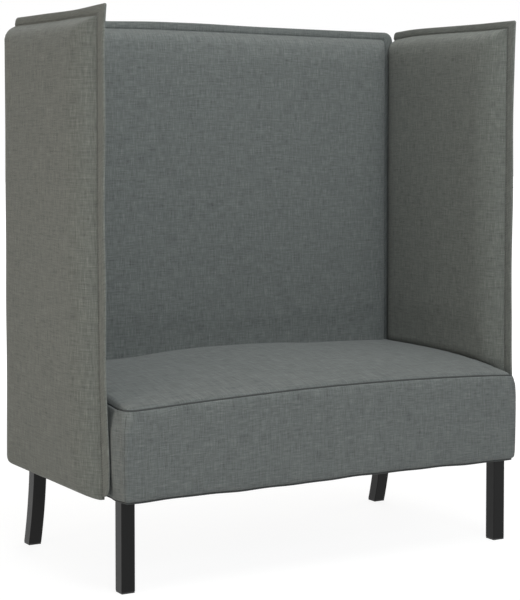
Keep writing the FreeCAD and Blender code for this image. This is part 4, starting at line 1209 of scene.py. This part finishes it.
def studio_floor():
    """A pale floor that keeps the sofa's shadow and fades to white further off."""
    s = new_material("studio_floor")
    place = s.place()
    x, y = s.across_and_up(place)
    squared = x * x + y * y
    # The floor's colour is darker under and round the sofa: painted shade there, which also sends less light
    # back up onto the sofa's lower parts.
    away = squared * 0.6 + (s.noise(place, 3.0) - 0.5) * 0.1
    tone = s.tones(away, [(0.2, grey(0.64)), (1.0, grey(0.73))])
    matt = s.node("BsdfDiffuse", None, {"Color": tone})
    white = s.node("Emission", None, {"Color": grey(1.0), "Strength": FLOOR_GLOW})
    far = (squared * 0.16 - 0.5).clamped()
    share = s.seen() * (FLOOR_NEAR_SHARE + far * (1 - FLOOR_NEAR_SHARE))
    both = s.node("MixShader", None, {0: share, 1: matt, 2: white})
    s.node("OutputMaterial", None, {"Surface": both})
    r = FLOOR_REACH
    mesh = make_mesh("studio_floor", [(-r, -r, 0), (r, -r, 0), (r, r, 0), (-r, r, 0)], [(0, 1, 2, 3)])
    mesh.materials.append(s.owner)
    floor = place_object("studio_floor", mesh)


def studio_world():
    """Dim warm light from all round, which the camera sees as white."""
    world = bpy.data.worlds.new("studio")
    bpy.context.scene.world = world
    s = Drawing(world)
    dim = s.node("Background", None, {"Color": WORLD_TINT, "Strength": WORLD_STRENGTH})
    white = s.node("Background", None, {"Color": grey(1.0), "Strength": 1.0})
    both = s.node("MixShader", None, {0: s.seen(), 1: dim, 2: white})
    s.node("OutputWorld", None, {"Surface": both})


def soft_lamp(name, place, target, size, power, colour):
    light = bpy.data.lights.new(name, "AREA")
    light.shape = "RECTANGLE"
    light.size, light.size_y = size
    light.energy = power
    light.color = colour
    lamp = place_object(name, light)
    lamp.location = place
    lamp.rotation_euler = (Vector(target) - Vector(place)).to_track_quat("-Z", "Y").to_euler()


studio_floor()
studio_world()
soft_lamp("front_box", (-0.6, -3.5, 2.1), (0.0, 0.0, 0.75), (2.6, 2.0), 58, (0.85, 0.925, 1.0))
soft_lamp("side_box", (-3.3, -0.7, 0.95), (-0.5, 0.0, 0.8), (2.0, 1.6), 31, (1.0, 0.925, 0.835))
soft_lamp("top_box", (0.0, -0.8, 3.2), (0.0, -0.1, 0.5), (2.4, 2.0), 45, (0.97, 1.0, 1.0))
soft_lamp("rear_box", (1.6, 3.4, 2.0), (0.0, 0.3, 0.8), (2.6, 2.0), 42, (1.0, 0.99, 0.97))
soft_lamp("far_side_box", (3.4, 0.7, 1.3), (0.5, 0.1, 0.8), (2.0, 1.6), 22, (1.0, 0.985, 0.96))

# Camera of the photograph, and how far it looks down and to the right, in degrees
CAMERA_DOWN = 2.4
CAMERA_RIGHT = 30.054

eye = bpy.data.cameras.new("camera")
eye.sensor_fit = "AUTO"
eye.sensor_width = 36.0
eye.lens = 101.672
eye.shift_y = -0.1392
eye.clip_end = 200.0
camera = place_object("camera", eye)
camera.location = (-2.1681, -3.7030, 1.0127)
camera.rotation_euler = (math.radians(90.0 - CAMERA_DOWN), 0.0, math.radians(-CAMERA_RIGHT))
bpy.context.scene.camera = camera
bpy.context.scene.view_settings.view_transform = "Standard"
